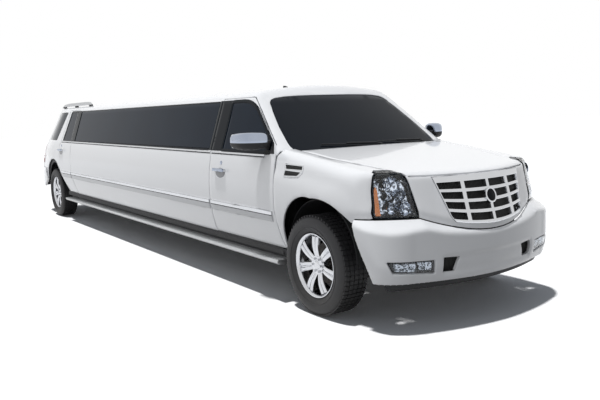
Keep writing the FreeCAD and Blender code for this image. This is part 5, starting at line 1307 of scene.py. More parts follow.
class BuildNose(Piece):
    """Front bumper, valance, grille, headlamps and fog lamps."""
    bl_idname = "limousine.nose"
    bl_label = "Bumper, grille and lamps"

    def build(self):
        self.bumper()
        self.grille()
        self.headlamps()

    def wrapped(self, side, radius, *corners):
        """Rounded front-view outline on the bumper, as bearings and heights."""
        return [(side * u, z) for u, z in on_bearings(bumper, filleted(corners, radius))]

    def bumper(self):
        top = on_bearings(bumper, [(x, z - 0.002) for x, z in bumper_top_path()])
        foot = BUMPER_LOW - 0.022
        ends = land(bumper, "side", [
            (FRONT - 0.500, BUMPER_SIDE - 0.002), (FRONT - 0.534, FRONT_ARCH - 0.242),
            (FRONT - 0.606, FRONT_ARCH - 0.470), (FRONT - 0.650, foot + 0.010)])
        half = top + [(math.atan2(p[0], WRAP_Y - p[1]), p[2]) for p in ends]
        half += [(0.30, foot), (0, foot)]
        loop = half + [(-u, z) for u, z in half[::-1] if u > 1e-6]
        holes = [self.wrapped(s, radius, *corners) for s in (1, -1) for radius, *corners in (
            (0.008, (0.374, 0.427), (0.477, 0.430), (0.478, 0.534), (0.342, 0.528)),
            (0.010, (0.546, 0.424), (0.852, 0.448), (0.890, 0.537), (0.553, 0.528)))]
        panel("front_bumper_skin", "shell", "body_paint", bumper, "wrap",
              [dense(loop, 0.04)] + holes, paint(), edge=0.005, wall=0.03, grid=0.016,
              stands_for="front_bumper")
        for word, s in SIDES:
            self.lamp("air_intake_" + word, "black_trim", grille_mesh(), -0.035, self.wrapped(
                s, 0.01, (0.350, 0.412), (0.490, 0.415), (0.492, 0.548), (0.325, 0.542)))
            self.lamp("fog_lamp_pocket_" + word, "black_trim", trim(), -0.032, self.wrapped(
                s, 0.01, (0.532, 0.412), (0.866, 0.436), (0.905, 0.550), (0.540, 0.542)))
            self.lamp("fog_lamp_lens_" + word, "lamp_clear", lens(), -0.008,
                      self.wrapped(s, 0.010, (0.556, 0.434), (0.848, 0.457), (0.879, 0.529),
                                   (0.562, 0.520)), wall=0.004)
            for low, high, name in ((0.572, 0.672, "inner"), (0.692, 0.842, "outer")):
                self.lamp(f"fog_lamp_reflector_{name}_{word}", "lamp_clear", fog_reflector(),
                          -0.022, self.wrapped(s, 0.012, (low, 0.447), (high, 0.459),
                                               (high + 0.012, 0.521), (low, 0.513)), edge=0.004,
                          grid=0.012)
        # black valance under the bumper
        low, high, end = 0.272, BUMPER_LOW + 0.010, 1.16
        loop = [(-end, low + 0.02), (end, low + 0.02), (end + 0.02, high), (-end - 0.02, high)]
        panel("valance_skin", "shell", "black_trim", bumper, "wrap", [dense(loop, 0.05)], trim(),
              lift=-0.038, wall=0.02, edge=0.006, grid=0.05, stands_for="front_valance")

    def lamp(self, name, slot, material, lift, loop, wall=0.006, edge=0.001, grid=0.02):
        """Piece sunk in one of the bumper's openings."""
        panel(name, "shell", slot, bumper, "wrap", [loop], material, lift=lift, wall=wall,
              edge=edge, grid=grid)

    def grille(self):
        holes = []
        for down in np.arange(4) * 0.0655:
            for inner, outer in ((0.0135, 0.222), (0.256, None)):
                low, high = grille_level(0.44, down + 0.0445), grille_level(0.44, down)
                ends = [outer or grille_side(z) for z in (low, high)]
                foot = [(inner + (ends[0] - inner) * t, down + 0.0445)
                        for t in np.linspace(0, 1, 5)]
                head = [(inner + (ends[1] - inner) * t, down) for t in np.linspace(1, 0, 5)]
                cell = filleted([(x, grille_level(x, d)) for x, d in foot + head], 0.004, 3)
                holes += [[(s * x, z) for x, z in cell] for s in (1, -1)]
        outline = filleted(mirrored_loop(grille_half(-0.0008)), 0.003)
        panel("grille_bars", "shell", "chrome", nose, "front", [outline] + holes, chrome(),
              lift=0.006, wall=0.034, edge=0.004, grid=0.02, stands_for="grille")
        panel("grille_mesh", "shell", "black_trim", nose, "front", [drawn_in(outline, -0.015)],
              grille_mesh(), lift=-0.030, wall=0.006, edge=0.001, grid=0.03,
              stands_for="grille_screen")
        centre = land(nose, "front", [(0.0, 0.945)])[0] + np.array((0, -0.012, 0))
        turn = (Matrix.Rotation(-math.atan(NOSE_LEAN), 3, "X")
                @ Matrix.Rotation(-math.pi / 2, 3, "Z"))
        ring = [(0.0, 0.044), (0.006, 0.047), (0.0075, 0.052), (0.004, 0.058), (-0.022, 0.060),
                (-0.022, 0.044)]
        disc = [(0, 0), (0.004, 0), (0.002, 0.030), (-0.002, 0.046), (-0.020, 0.046), (-0.020, 0)]
        for name, profile, make in (("grille_disc_ring", ring, chrome),
                                    ("grille_disc", disc, gloss_black)):
            verts, faces = lathe(profile, 40)
            verts = np.array([tuple(turn @ Vector(v)) for v in verts]) + centre
            grown(name, "shell", "chrome", (verts, faces), make())

    def headlamps(self):
        def shaped(name, slot, loops, material, lift, wall, grid=0.02, **kwargs):
            pair("headlamp_" + name, "shell", slot, nose, "wrap", loops, material, lift=lift,
                 wall=wall, edge=0.002, grid=grid, **kwargs)

        shaped("cover", "lamp_clear", [lamp_loop(0.002)], lens(), 0.002, 0.005,
               stands_for="front_lamps")
        shaped("rim", "black_trim", [lamp_loop(-0.003), lamp_loop(0.009)], gloss_black(), 0.0005,
               0.030)
        shaped("bowl", "lamp_clear", [lamp_loop(0.004)], reflector(), -0.060, 0.010, grid=0.03)
        blinker = on_bearings(nose, [(0.838, 0.850), (0.868, 0.848), (0.868, 0.93), (0.858, 1.028),
                                     (0.846, 1.060), (0.838, 1.03)])
        shaped("amber", "lamp_clear", [filleted(blinker, 0.006)], amber(), -0.006, 0.010)
        for name, x, z, radius in (("low_beam", 0.748, 1.070, 0.062),
                                   ("high_beam", 0.690, 0.905, 0.050),
                                   ("park", 0.770, 0.905, 0.040), ("turn", 0.765, 0.985, 0.036),
                                   ("side", 0.695, 1.000, 0.036)):
            bowl = [(0.0, 0.0), (0.004, 0.30), (0.020, 0.32), (0.016, 0.42), (-0.004, 0.60),
                    (0.022, 0.94), (0.040, 1.0), (0.038, 1.08), (-0.020, 1.08), (-0.020, 0.0)]
            verts, faces = lathe([(depth, radius * share) for depth, share in bowl], 36)
            verts = np.stack([verts[:, 1], -verts[:, 0], verts[:, 2]], 1)
            verts += land(nose, "front", [(x, z)])[0] + np.array((-0.012, 0.058, -0.01))
            grown_pair("headlamp_" + name, "shell", "lamp_clear", recalculated(verts, faces),
                       reflector())


def grille_mesh():
    return finish_of("grille mesh", (0.030, 0.031, 0.030), 0.5, (0.010, 0.010, 0.011), ribs=26.0,
                     bump=1.0, depth=0.004, Specular_IOR_Level=0.15)


# ---------------------------------------------------------------- operators: wheels
WHEELS = [
    # name, side of the vehicle, place of its axle
    ("front_left", 1, FRONT), ("front_right", -1, FRONT),
    ("rear_left", 1, REAR), ("rear_right", -1, REAR),
]


def vector_of(tree, **axes):
    """Vector joined from one output for each axis that is named."""
    node = tree.nodes.new("ShaderNodeCombineXYZ")
    for axis, (source, out) in axes.items():
        wire(tree, (source, out, node, axis))
    return node, "Vector"


def turned_by(tree, **axes):
    """Rotation by an angle about each axis that is named."""
    turn = tree.nodes.new("FunctionNodeEulerToRotation")
    wire(tree, (*vector_of(tree, **axes), turn, "Euler"))
    return turn, "Rotation"


def block_of(tree, into, *labels):
    """Box whose three sizes are inputs of the tree."""
    cube = tree.nodes.new("GeometryNodeMeshCube")
    sizes = {axis: (into, label) for axis, label in zip("XYZ", labels)}
    wire(tree, (*vector_of(tree, **sizes), cube, "Size"))
    return cube, "Mesh"


def on_points(tree, line, piece, turn=None):
    """Copies of a piece on the points of a line."""
    points = tree.nodes.new("GeometryNodeInstanceOnPoints")
    wire(tree, (line, "Mesh", points, "Points"), (*piece, points, "Instance"))
    if turn:
        wire(tree, (*turn, points, "Rotation"))
    return points, "Instances"


def realised(tree, into, out, geometry):
    """Real geometry with its material, put out by the tree."""
    real = tree.nodes.new("GeometryNodeRealizeInstances")
    coated = tree.nodes.new("GeometryNodeSetMaterial")
    wire(tree, (*geometry, real, "Geometry"), (real, "Geometry", coated, "Geometry"),
         (into, "Material", coated, "Material"), (coated, "Geometry", out, "Geometry"))
    return tree


def tread_tree(rows):
    """Tread blocks round a tyre: a small block instanced on rings of points."""
    tree, into, out = group_of(
        "Tread blocks",
        [("Rows", "Int", rows), ("Radius", "Float", 0.392), ("Block width", "Float", 0.036),
         ("Block length", "Float", 0.030), ("Block height", "Float", 0.012),
         ("Spacing", "Float", 0.043), ("Skew", "Float", 0.25), ("Material", "Material")],
        [("Geometry", "Geometry")], "GeometryNodeTree")
    line, ring = (tree.nodes.new("GeometryNodeMeshLine") for _ in range(2))
    line.inputs["Count"].default_value = 5
    ring.inputs["Offset"].default_value = (0, 0, 0)
    index, step = tree.nodes.new("GeometryNodeInputIndex"), math_node(tree, "DIVIDE")
    shift, full = math_node(tree, "MULTIPLY", -2.0), math_node(tree, "MULTIPLY", 2 * math.pi)
    wire(tree, (into, "Spacing", shift, 0), (into, "Rows", ring, "Count"),
         (*vector_of(tree, X=(into, "Spacing")), line, "Offset"),
         (*vector_of(tree, X=(shift, 0), Z=(into, "Radius")), line, "Start Location"),
         (index, "Index", step, 0), (into, "Rows", step, 1), (step, 0, full, 0))
    block = block_of(tree, into, "Block width", "Block length", "Block height")
    row = on_points(tree, line, block, turned_by(tree, Z=(into, "Skew")))
    return realised(tree, into, out, on_points(tree, ring, row, turned_by(tree, X=(full, 0))))


def rib_tree():
    """Ribs across a running board."""
    tree, into, out = group_of(
        "Step ribs",
        [("Count", "Int", 150), ("Length", "Float", 6.0), ("Rib width", "Float", 0.018),
         ("Rib across", "Float", 0.120), ("Rib height", "Float", 0.006),
         ("Material", "Material")], [("Geometry", "Geometry")], "GeometryNodeTree")
    line = tree.nodes.new("GeometryNodeMeshLine")
    line.mode = "END_POINTS"
    minus, plus = math_node(tree, "MULTIPLY", -0.5), math_node(tree, "MULTIPLY", 0.5)
    wire(tree, (into, "Length", minus, 0), (into, "Length", plus, 0),
         (into, "Count", line, "Count"),
         (*vector_of(tree, Y=(minus, 0)), line, "Start Location"),
         (*vector_of(tree, Y=(plus, 0)), line, "Offset"))
    rib = block_of(tree, into, "Rib across", "Rib width", "Rib height")
    return realised(tree, into, out, on_points(tree, line, rib))


def from_tree(name, tree, values):
    """Plain mesh object made by a geometry tree, its inputs set by name."""
    holder = bpy.data.objects.new(name, bpy.data.meshes.new(name))
    bpy.context.scene.collection.objects.link(holder)
    modifier = holder.modifiers.new("Build", "NODES")
    modifier.node_group = tree
    for item in tree.interface.items_tree:
        if item.item_type == "SOCKET" and item.in_out == "INPUT" and item.name in values:
            modifier[item.identifier] = values[item.name]
    result = holder.evaluated_get(bpy.context.evaluated_depsgraph_get())
    mesh = bpy.data.meshes.new_from_object(result)
    holder.modifiers.remove(modifier)
    holder.data = mesh
    return holder


def reshaped(item, change):
    """Move the points of an object's mesh by a function of their places."""
    mesh = item.data
    coords = np.empty(len(mesh.vertices) * 3)
    mesh.vertices.foreach_get("co", coords)
    mesh.vertices.foreach_set("co", change(coords.reshape(-1, 3)).ravel())
    mesh.update()
    return item


def moved(item, shift, side=1):
    """Shift the object's mesh, mirrored first for a negative side."""
    if side < 0:
        item.data.flip_normals()
    return reshaped(item, lambda coords: coords * (side, 1, 1) + np.array(shift))


class BuildWheels(Piece):
    """Tyres with tread blocks, spoked alloy wheels, lug nuts and brake parts."""
    bl_idname = "limousine.wheels"
    bl_label = "Wheels and tyres"

    def build(self):
        tree = tread_tree(settings().tread_rows)
        for name, side, axle in WHEELS:
            low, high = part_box("tyre_" + name)
            centre = ((low.x + high.x) / 2, axle, AXLE_Z)
            self.tyre(name, side, centre, tree)
            self.rim(name, side, centre)

    def ring(self, label, name, side, centre, profile, steps, material, slot, **kwargs):
        """Ring that turns with a wheel: profile is a closed loop of (x, radius)."""
        grown(label + name, "wheel_" + name, slot, lathe(profile, steps, centre, side), material,
              **kwargs)

    def tyre(self, name, side, centre, tree):
        half = [(0.098, 0.240), (0.0985, 0.262), (0.112, 0.272), (0.124, 0.291), (0.1305, 0.317),
                (0.131, 0.335), (0.127, 0.358), (0.119, 0.376), (0.108, 0.387), (0.090, 0.3905)]
        profile = [*half, (0, 0.392), *((-x, r) for x, r in half[::-1]), (-0.09, 0.242),
                   (0.09, 0.242)]
        self.ring("tyre_body_", name, side, centre, profile, 72, rubber(), "tyre_rubber", angle=50,
                  stands_for="tyre_" + name)
        blocks = from_tree("tread_" + name, tree, {"Rows": settings().tread_rows,
                                                  "Radius": 0.3945, "Material": rubber()})
        carried(moved(blocks, centre, side), "wheel_" + name)
        # raised ring on the side wall
        rib = [(0.1280, 0.300), (0.1320, 0.303), (0.1320, 0.309), (0.1280, 0.312), (0.1255, 0.306)]
        self.ring("tyre_rib_", name, side, centre, rib, 64, rubber(), "tyre_rubber")

    def spoke(self, turn, width_in, width_out, x_in, x_out, offset):
        """One leg of a double spoke, as a bevelled bar from hub to rim."""
        rings, steps = [], 8
        for t in np.arange(steps + 1) / steps:
            r = 0.060 + t * 0.160
            face = x_in + (x_out - x_in) * t + 0.012 * math.sin(math.pi * t)
            back = face - 0.026 + 0.006 * t
            half = (width_in + (width_out - width_in) * t) / 2
            middle = offset * (0.7 + 0.5 * t)
            outline = ((back, -0.8), (face - 0.006, -1), (face, -0.55), (face, 0.55),
                       (face - 0.006, 1), (back, 0.8))
            rings.append([(x, (middle + half * w) * math.cos(turn) + r * math.sin(turn),
                           -(middle + half * w) * math.sin(turn) + r * math.cos(turn))
                          for x, w in outline])
        return skinned(rings)

    def rim(self, name, side, centre):
        barrel = [(0.108, 0.2455), (0.1085, 0.240), (0.103, 0.2335), (0.094, 0.226), (0.070, 0.221),
                  (-0.030, 0.217), (-0.098, 0.222), (-0.108, 0.245), (-0.104, 0.2455),
                  (-0.098, 0.2305), (0.098, 0.2305), (0.1035, 0.2455)]
        hub = [(0.085, 0.0), (0.086, 0.030), (0.082, 0.034), (0.080, 0.036), (0.078, 0.072),
               (0.070, 0.080), (0.030, 0.082), (0.030, 0.0)]
        parts = [lathe(barrel, 96), lathe(hub, 48)]
        for k in range(settings().spokes):
            turn = 2 * math.pi * k / settings().spokes
            parts += [self.spoke(turn, 0.027, 0.036, 0.077, 0.093, offset)
                      for offset in (-0.019, 0.019)]
            # dished web between the two legs of a spoke
            parts.append(self.spoke(turn, 0.030, 0.040, 0.068, 0.084, 0.0))
        verts, faces = merged(parts)
        body = "wheel_" + name
        grown("rim_" + name, body, "chrome", (verts * (1, 1.043, 1.043), faces), alloy(), side=side,
              shift=centre, angle=35, stands_for=body)
        cap = [(0.0875, 0.0), (0.0885, 0.020), (0.086, 0.0285), (0.083, 0.030), (0.083, 0.0)]
        self.ring("wheel_cap_", name, side, centre, cap, 40, chrome(), "chrome")
        nuts = []
        for k in range(6):
            turn = 2 * math.pi * (k + 0.5) / 6
            y, z = 0.055 * math.sin(turn), 0.055 * math.cos(turn)
            nuts.append(tube([(x, y, z) for x in (0.078, 0.094, 0.097)], [0.011, 0.0105, 0.007], 6))
        grown("lug_nuts_" + name, body, "chrome", merged(nuts), chrome(), side=side, shift=centre,
              angle=30)
        disc = [(-0.018, 0.075), (-0.018, 0.166), (-0.026, 0.168), (-0.038, 0.168), (-0.042, 0.166),
                (-0.042, 0.075)]
        self.ring("brake_disc_", name, side, centre, disc, 64, iron(), "bare_iron")


# ---------------------------------------------------------------- operators: trim
class BuildTrim(Piece):
    """Mouldings, handles, vents, mirrors, roof rails, running boards and wipers."""
    bl_idname = "limousine.trim"
    bl_label = "Trim"

    def build(self):
        self.mouldings()
        self.handles()
        self.vents()
        for word, side in SIDES:
            self.mirror(word, side)
        self.roof_rails()
        self.boards()
        self.wipers()
        self.pillars()

    def band(self, name, body, slot, ys, low, high, material, lift, wall, edge=0.003, radius=0.004):
        """Strip along the side between two y places, with its foot and top at each end."""
        loop = [(ys[0], low[0]), (ys[1], low[1]), (ys[1], high[1]), (ys[0], high[0])]
        pair(name, body, slot, cabin, "side", [filleted(loop, radius)], material, lift=lift,
             wall=wall, edge=edge, grid=0.06)

    def mouldings(self):
        def heights(ys, first, last):
            return [first + (last - first) * (y - DOOR_F) / (REAR_B - DOOR_F) for y in ys]

        def raised(heights, rise):
            return [z + rise for z in heights]

        spans = [("front_door", "front_door_SIDE", DOOR_F + 0.03, DOOR_R - 0.012),
                 ("long", "shell", LONG_F + 0.012, LONG_R - 0.012),
                 ("rear_door", "rear_door_SIDE", REAR_F + 0.012, REAR_B - 0.10)]
        for name, body, y0, y1 in spans:
            top, shorter = heights((y0, y1), 0.785, 0.800), (y0 + 0.004, y1 - 0.004)
            # the moulding's grey paint is painted shade: the dark ground mirrored on its face
            self.band(f"{name}_moulding", body, "body_paint", (y0, y1),
                      heights((y0, y1), 0.690, 0.700), top, shaded_moulding_paint(), 0.009, 0.014, 0.006)
            self.band(f"{name}_moulding_strip", body, "chrome", shorter, raised(top, -0.036),
                      raised(top, -0.006), chrome(), 0.013, 0.008)
            # a dark line under the chrome strip: painted shadow of the strip's edge
            self.band(f"{name}_moulding_line", body, "black_trim", shorter, raised(top, -0.043),
                      raised(top, -0.035), gloss_black(), 0.011, 0.006, 0.001, 0.001)
            belt = heights((y0, y1), 1.237, 1.258)
            if name == "front_door":
                y0 = FRONT + 0.70
            ahead = 0.006 if name == "long" else 0
            self.band(f"{name}_belt_strip", body, "chrome", (y0 - ahead, y1 + 0.006), belt,
                      raised(belt, 0.017), chrome(), 0.006, 0.010)
            self.band(f"{name}_belt_seal", body, "black_trim", (y0, y1), raised(belt, -0.008),
                      raised(belt, 0.001), gloss_black(), 0.003, 0.006, 0.001, 0.001)

    def handles(self):
        def shaped(name, body, slot, loop, material, lift, wall, edge, grid=0.03):
            pair(name, body, slot, cabin, "side", [loop], material, lift=lift, wall=wall, edge=edge,
                 grid=grid)

        def oval(y, z, half_y, half_z, count):
            return [(y + half_y * math.cos(a), z + half_z * math.sin(a))
                    for a in np.linspace(0, 2 * math.pi, count, endpoint=False)]

        for name, y, z in (("front", FRONT + 1.475, 1.084), ("rear", REAR - 0.518, 1.128)):
            body = f"{name}_door_SIDE"
            # dark oval laid under the handle: painted shadow of its recess
            shaped(f"{name}_handle_recess", body, "black_trim",
                   oval(y, z - 0.026, 0.092, 0.047, 28), handle_shadow(), 0.0012, 0.006, 0.001,
                   0.02)
            bar = filleted([(y - 0.105, z - 0.016), (y + 0.105, z - 0.014), (y + 0.105, z + 0.014),
                            (y - 0.105, z + 0.016)], 0.013)
            shaped(f"{name}_handle_bar", body, "chrome", bar, chrome_with_painted_sky(), 0.040, 0.018, 0.007)
            for tag, shift in (("front", -0.090), ("rear", 0.090)):
                post = rectangle((y + shift - 0.014, z - 0.013), (y + shift + 0.014, z + 0.013),
                                 0.006)
                shaped(f"{name}_handle_{tag}_post", body, "chrome", post, chrome(), 0.026, 0.028,
                       0.003)
            shaped(f"{name}_door_lock", body, "chrome", oval(y - 0.005, z + 0.070, 0.019, 0.019,
                                                             20), chrome_with_painted_sky(), 0.004, 0.008,
                   0.002, 0.02)

    def vents(self):
        slots = ([(0.190, 1.100), (0.368, 1.096), (0.366, 1.134), (0.152, 1.128)],
                 [(0.132, 1.150), (0.354, 1.150), (0.366, 1.182), (0.130, 1.175)])
        outer = filleted([(FRONT + y, z) for y, z in ((0.170, 1.088), (0.380, 1.085),
                                                      (0.380, 1.193), (0.116, 1.184),
                                                      (0.118, 1.134))], 0.014)
        holes = [filleted([(FRONT + y, z) for y, z in slot], 0.006) for slot in slots]
        pair("fender_vent_frame", "shell", "chrome", nose, "side", [outer] + holes, chrome(),
             lift=0.006, wall=0.010, edge=0.003, grid=0.03)
        pair("fender_vent_slots", "shell", "black_trim", nose, "side", [drawn_in(outer, 0.006)],
             grille_mesh(), lift=0.0015, wall=0.005, edge=0.001, grid=0.03)

    def mirror(self, word, side):
        """Mirror: head with a chrome upper and a dark lower shell, foot, sail and glass. The whole
        head is chrome; its dark lower shell is a painted reflection of the dark ground.
        """
        low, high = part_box("mirror_left")
        body = f"front_door_{word}"
        foot, top, front = high.z - 0.158, high.z, low.y + 0.02
        inner, outer, squareness = 0.975, 1.194, 0.62
        rings = []
        for t, y0, y1, z1, z0 in ((0.0, 0.035, 0.150, -0.020, 0.030),
                                  (0.12, 0.012, 0.190, -0.006, 0.010), (0.5, 0.030, 0.275, 0, 0),
                                  (0.85, 0.105, 0.335, -0.006, 0.004),
                                  (1.0, 0.190, 0.340, -0.030, 0.035)):
            y0, y1, z0, z1 = front + y0, front + y1, foot + z0, top + z1
            ring = []
            for k in range(20):
                turn = 2 * math.pi * k / 20
                ahead, up = (math.copysign(abs(part) ** squareness, part)
                             for part in (math.cos(turn), math.sin(turn)))
                ring.append((inner + (outer - inner) * t,
                             (y0 + y1) / 2 - ahead * (y1 - y0) / 2,
                             (z0 + z1) / 2 + up * (z1 - z0) / 2))
            rings.append(ring)
        head = grown(f"mirror_shell_{word}", body, "chrome", skinned(rings), chrome_with_painted_sky(),
                     side=side, stands_for=f"mirror_{word}")
        head.data.materials.append(trim())
        split = (foot + top) / 2 - 0.012
        finished(head, subdivide=2)
        cut_level(head, split)
        # the lower half of the chrome head takes dark trim: a painted reflection of the dark ground
        for polygon in head.data.polygons:
            if polygon.center.z < split:
                polygon.material_index = 1
        stem = [(0.9516, foot + 0.006), (0.929, foot + 0.085), (1.01, foot + 0.075),
                (1.01, foot + 0.020)]
        grown(f"mirror_foot_{word}", body, "black_trim",
              extruded(stem, DOOR_F + 0.105, DOOR_F + 0.185, (0, 2, 1)), trim(), side=side,
              bevel=0.010, segments=3)
        sail = [(FRONT + 0.55, 1.262), (FRONT + 0.618, 1.262), (FRONT + 0.618, 1.365),
                (FRONT + 0.60, 1.352)]
        panel(f"mirror_sail_{word}", body, "black_trim", cabin, "side", [filleted(sail, 0.006)],
              trim(), lift=0.002, wall=0.008, edge=0.002, side=side)
        pane = filleted([(0.992, foot + 0.026), (1.165, foot + 0.018), (1.165, top - 0.018),
                         (0.992, top - 0.024)], 0.02)
        verts, faces = extruded(pane, 0, 0.004, (0, 2, 1))
        verts[:, 1] += front + 0.172 + (verts[:, 0] - 0.992) / 0.173 * 0.163
        grown(f"mirror_glass_{word}", body, "chrome", (verts, faces), mirror_face(), side=side)

    def roof_rails(self):
        y0, y1 = REAR - 1.420, REAR + 0.190
        x, top = 0.706, 1.872
        blade = filleted([(y0, 1.806), (y0 + 0.05, 1.842), (y0 + 0.13, 1.868), (y0 + 0.25, top),
                          (y1 - 0.45, top), (y1 - 0.18, 1.858), (y1 - 0.03, 1.822), (y1, 1.802),
                          (y1 - 0.08, 1.802), (y1 - 0.25, 1.822), (y0 + 0.20, 1.822),
                          (y0 + 0.06, 1.806)], 0.02)
        grown_pair("roof_rail_bar", "shell", "chrome", extruded(blade, x - 0.013, x + 0.013),
                   step_metal(), bevel=0.007, segments=3, stands_for="roof_fittings")
        feet = [cuboid((x - 0.015, y - 0.06, 1.796), (x + 0.015, y + 0.06, 1.828))
                for y in (y0 + 0.07, (y0 + y1) / 2, y1 - 0.14)]
        grown_pair("roof_rail_feet", "shell", "black_trim", merged(feet), trim(), bevel=0.008,
                   segments=3)
        fin = filleted([(FRONT + 1.8 + y, TOP + z) for y, z in ((-0.07, -0.006), (-0.02, 0.014),
                                                                (0.022, 0.028), (0.034, 0.027),
                                                                (0.030, -0.006))], 0.008)
        grown("antenna_fin", "shell", "black_trim", extruded(fin, -0.013, 0.013), gloss_black(),
              bevel=0.006, segments=3)

    def boards(self):
        """Running boards: silver ribbed tread on black arms, with the rocker."""
        y0, y1 = FRONT + 0.470, REAR - 0.700
        board = filleted([(0.862, 0.330), (0.995, 0.330), (1.018, 0.348), (1.0195, 0.368),
                          (1.010, 0.374), (0.862, 0.374)], 0.006)
        grown_pair("running_board", "shell", "step_silver", extruded(board, y0, y1, (0, 2, 1)),
                   step_metal(), bevel=0.0015, stands_for="running_boards")
        tree = rib_tree()
        for word, side in SIDES:
            ribs = from_tree(f"running_board_ribs_{word}", tree,
                             {"Count": settings().board_ribs, "Length": y1 - y0 - 0.06,
                              "Material": step_metal()})
            carried(moved(ribs, (side * 0.938, (y0 + y1) / 2, 0.3745), side), "shell")
        rocker = filleted([(0.872, 0.355), (0.90, 0.355), (0.926, 0.452), (0.90, 0.458),
                           (0.872, 0.458)], 0.006)
        grown_pair("rocker", "shell", "black_trim",
                   extruded(rocker, FRONT + 0.44, REAR - 0.72, (0, 2, 1)), trim())
        arms = [cuboid((0.44, y, 0.335), (0.88, y + 0.05, 0.362))
                for y in (FRONT + 0.76, FRONT + 2.06, FRONT + 3.30, REAR - 3.10, REAR - 2.0,
                          REAR - 0.82)]
        grown_pair("running_board_arms", "shell", "frame_black", merged(arms), frame_black())

    def wipers(self):
        """Two wipers parked along the foot of the windscreen, and the cowl grille."""
        for name, x0, x1 in (("left", 0.62, 0.02), ("right", 0.06, -0.56)):
            landed = land(cabin, "front", [(x0 + (x1 - x0) * t, 1.300 + 0.02 * t)
                                           for t in np.linspace(0, 1, 9)])
            arm = [landed[0] + np.array((0.02, -0.03, -0.018)),
                   *(landed[1:6] + np.array((0, -0.022, 0.012)))]
            blade = tube(landed + np.array((0, -0.010, 0.004)), 0.005, 8)
            grown(f"wiper_{name}", "shell", "black_trim", merged([blade, tube(arm, 0.007, 8)]),
                  trim())
        xs = np.linspace(0, 0.79, 12)
        loop = mirrored_loop([(x, HOOD_REAR + SEAM + screen_bow(x) * 0.7) for x in xs]
                             + [(x, screen_foot(x, 1.29) - 0.004) for x in xs[::-1]])
        panel("cowl_panel", "shell", "black_trim", nose, "top", [loop], trim(), lift=-0.016,
              wall=0.014, edge=0.003, stands_for="cowl")

    def pillars(self):
        """Gloss black covers over the pillars between the windows."""
        for name, body, y0, y1, radius in (("front_pillar_cover", "front_door_SIDE", DOOR_R - 0.197,
                                            DOOR_R + 0.0006, 0.006),
                                           ("long_front_pillar_cover", "shell", LONG_F - 0.0006,
                                            LONG_F + 0.047, 0.004),
                                           ("long_rear_pillar_cover", "shell", LONG_R - 0.147,
                                            LONG_R + 0.0006, 0.004),
                                           ("rear_door_front_pillar", "rear_door_SIDE",
                                            REAR_F - 0.0006, REAR_F + 0.037, 0.004)):
            pair(name, body, "black_trim", cabin, "side", [rectangle((y0, 1.262), (y1, 1.738),
                                                                     radius)], gloss_black(),
                 lift=0.0012, wall=0.014, edge=0.001)


# The moulding is body-coloured; this grey is painted shade, the dark ground mirrored on its face.
def shaded_moulding_paint():
    return finish_of("moulding paint", (0.50, 0.51, 0.53), 0.34, (0.47, 0.48, 0.50), broad=0.8,
                     dust=0.2, clear_above=0.75, Coat_Weight=0.6)


# Painted shadow for the handle recesses: dark grey where the white door lies in shade.
def handle_shadow():
    return finish_of("handle recess", (0.20, 0.205, 0.215), 0.35, (0.15, 0.155, 0.165),
                     Coat_Weight=0.5)


# Chrome tinted blue-grey: a painted reflection of the sky.
def chrome_with_painted_sky():
    return finish_of("mirror chrome", (0.40, 0.44, 0.52), 0.12, (0.30, 0.34, 0.42), broad=9.0,
                     rough_spread=0.04, Metallic=1.0)


def mirror_face():
    return finish_of("mirror face", (0.82, 0.85, 0.88), 0.03, (0.78, 0.81, 0.84), rough_spread=0.01,
                     bump=0.0, Metallic=1.0)


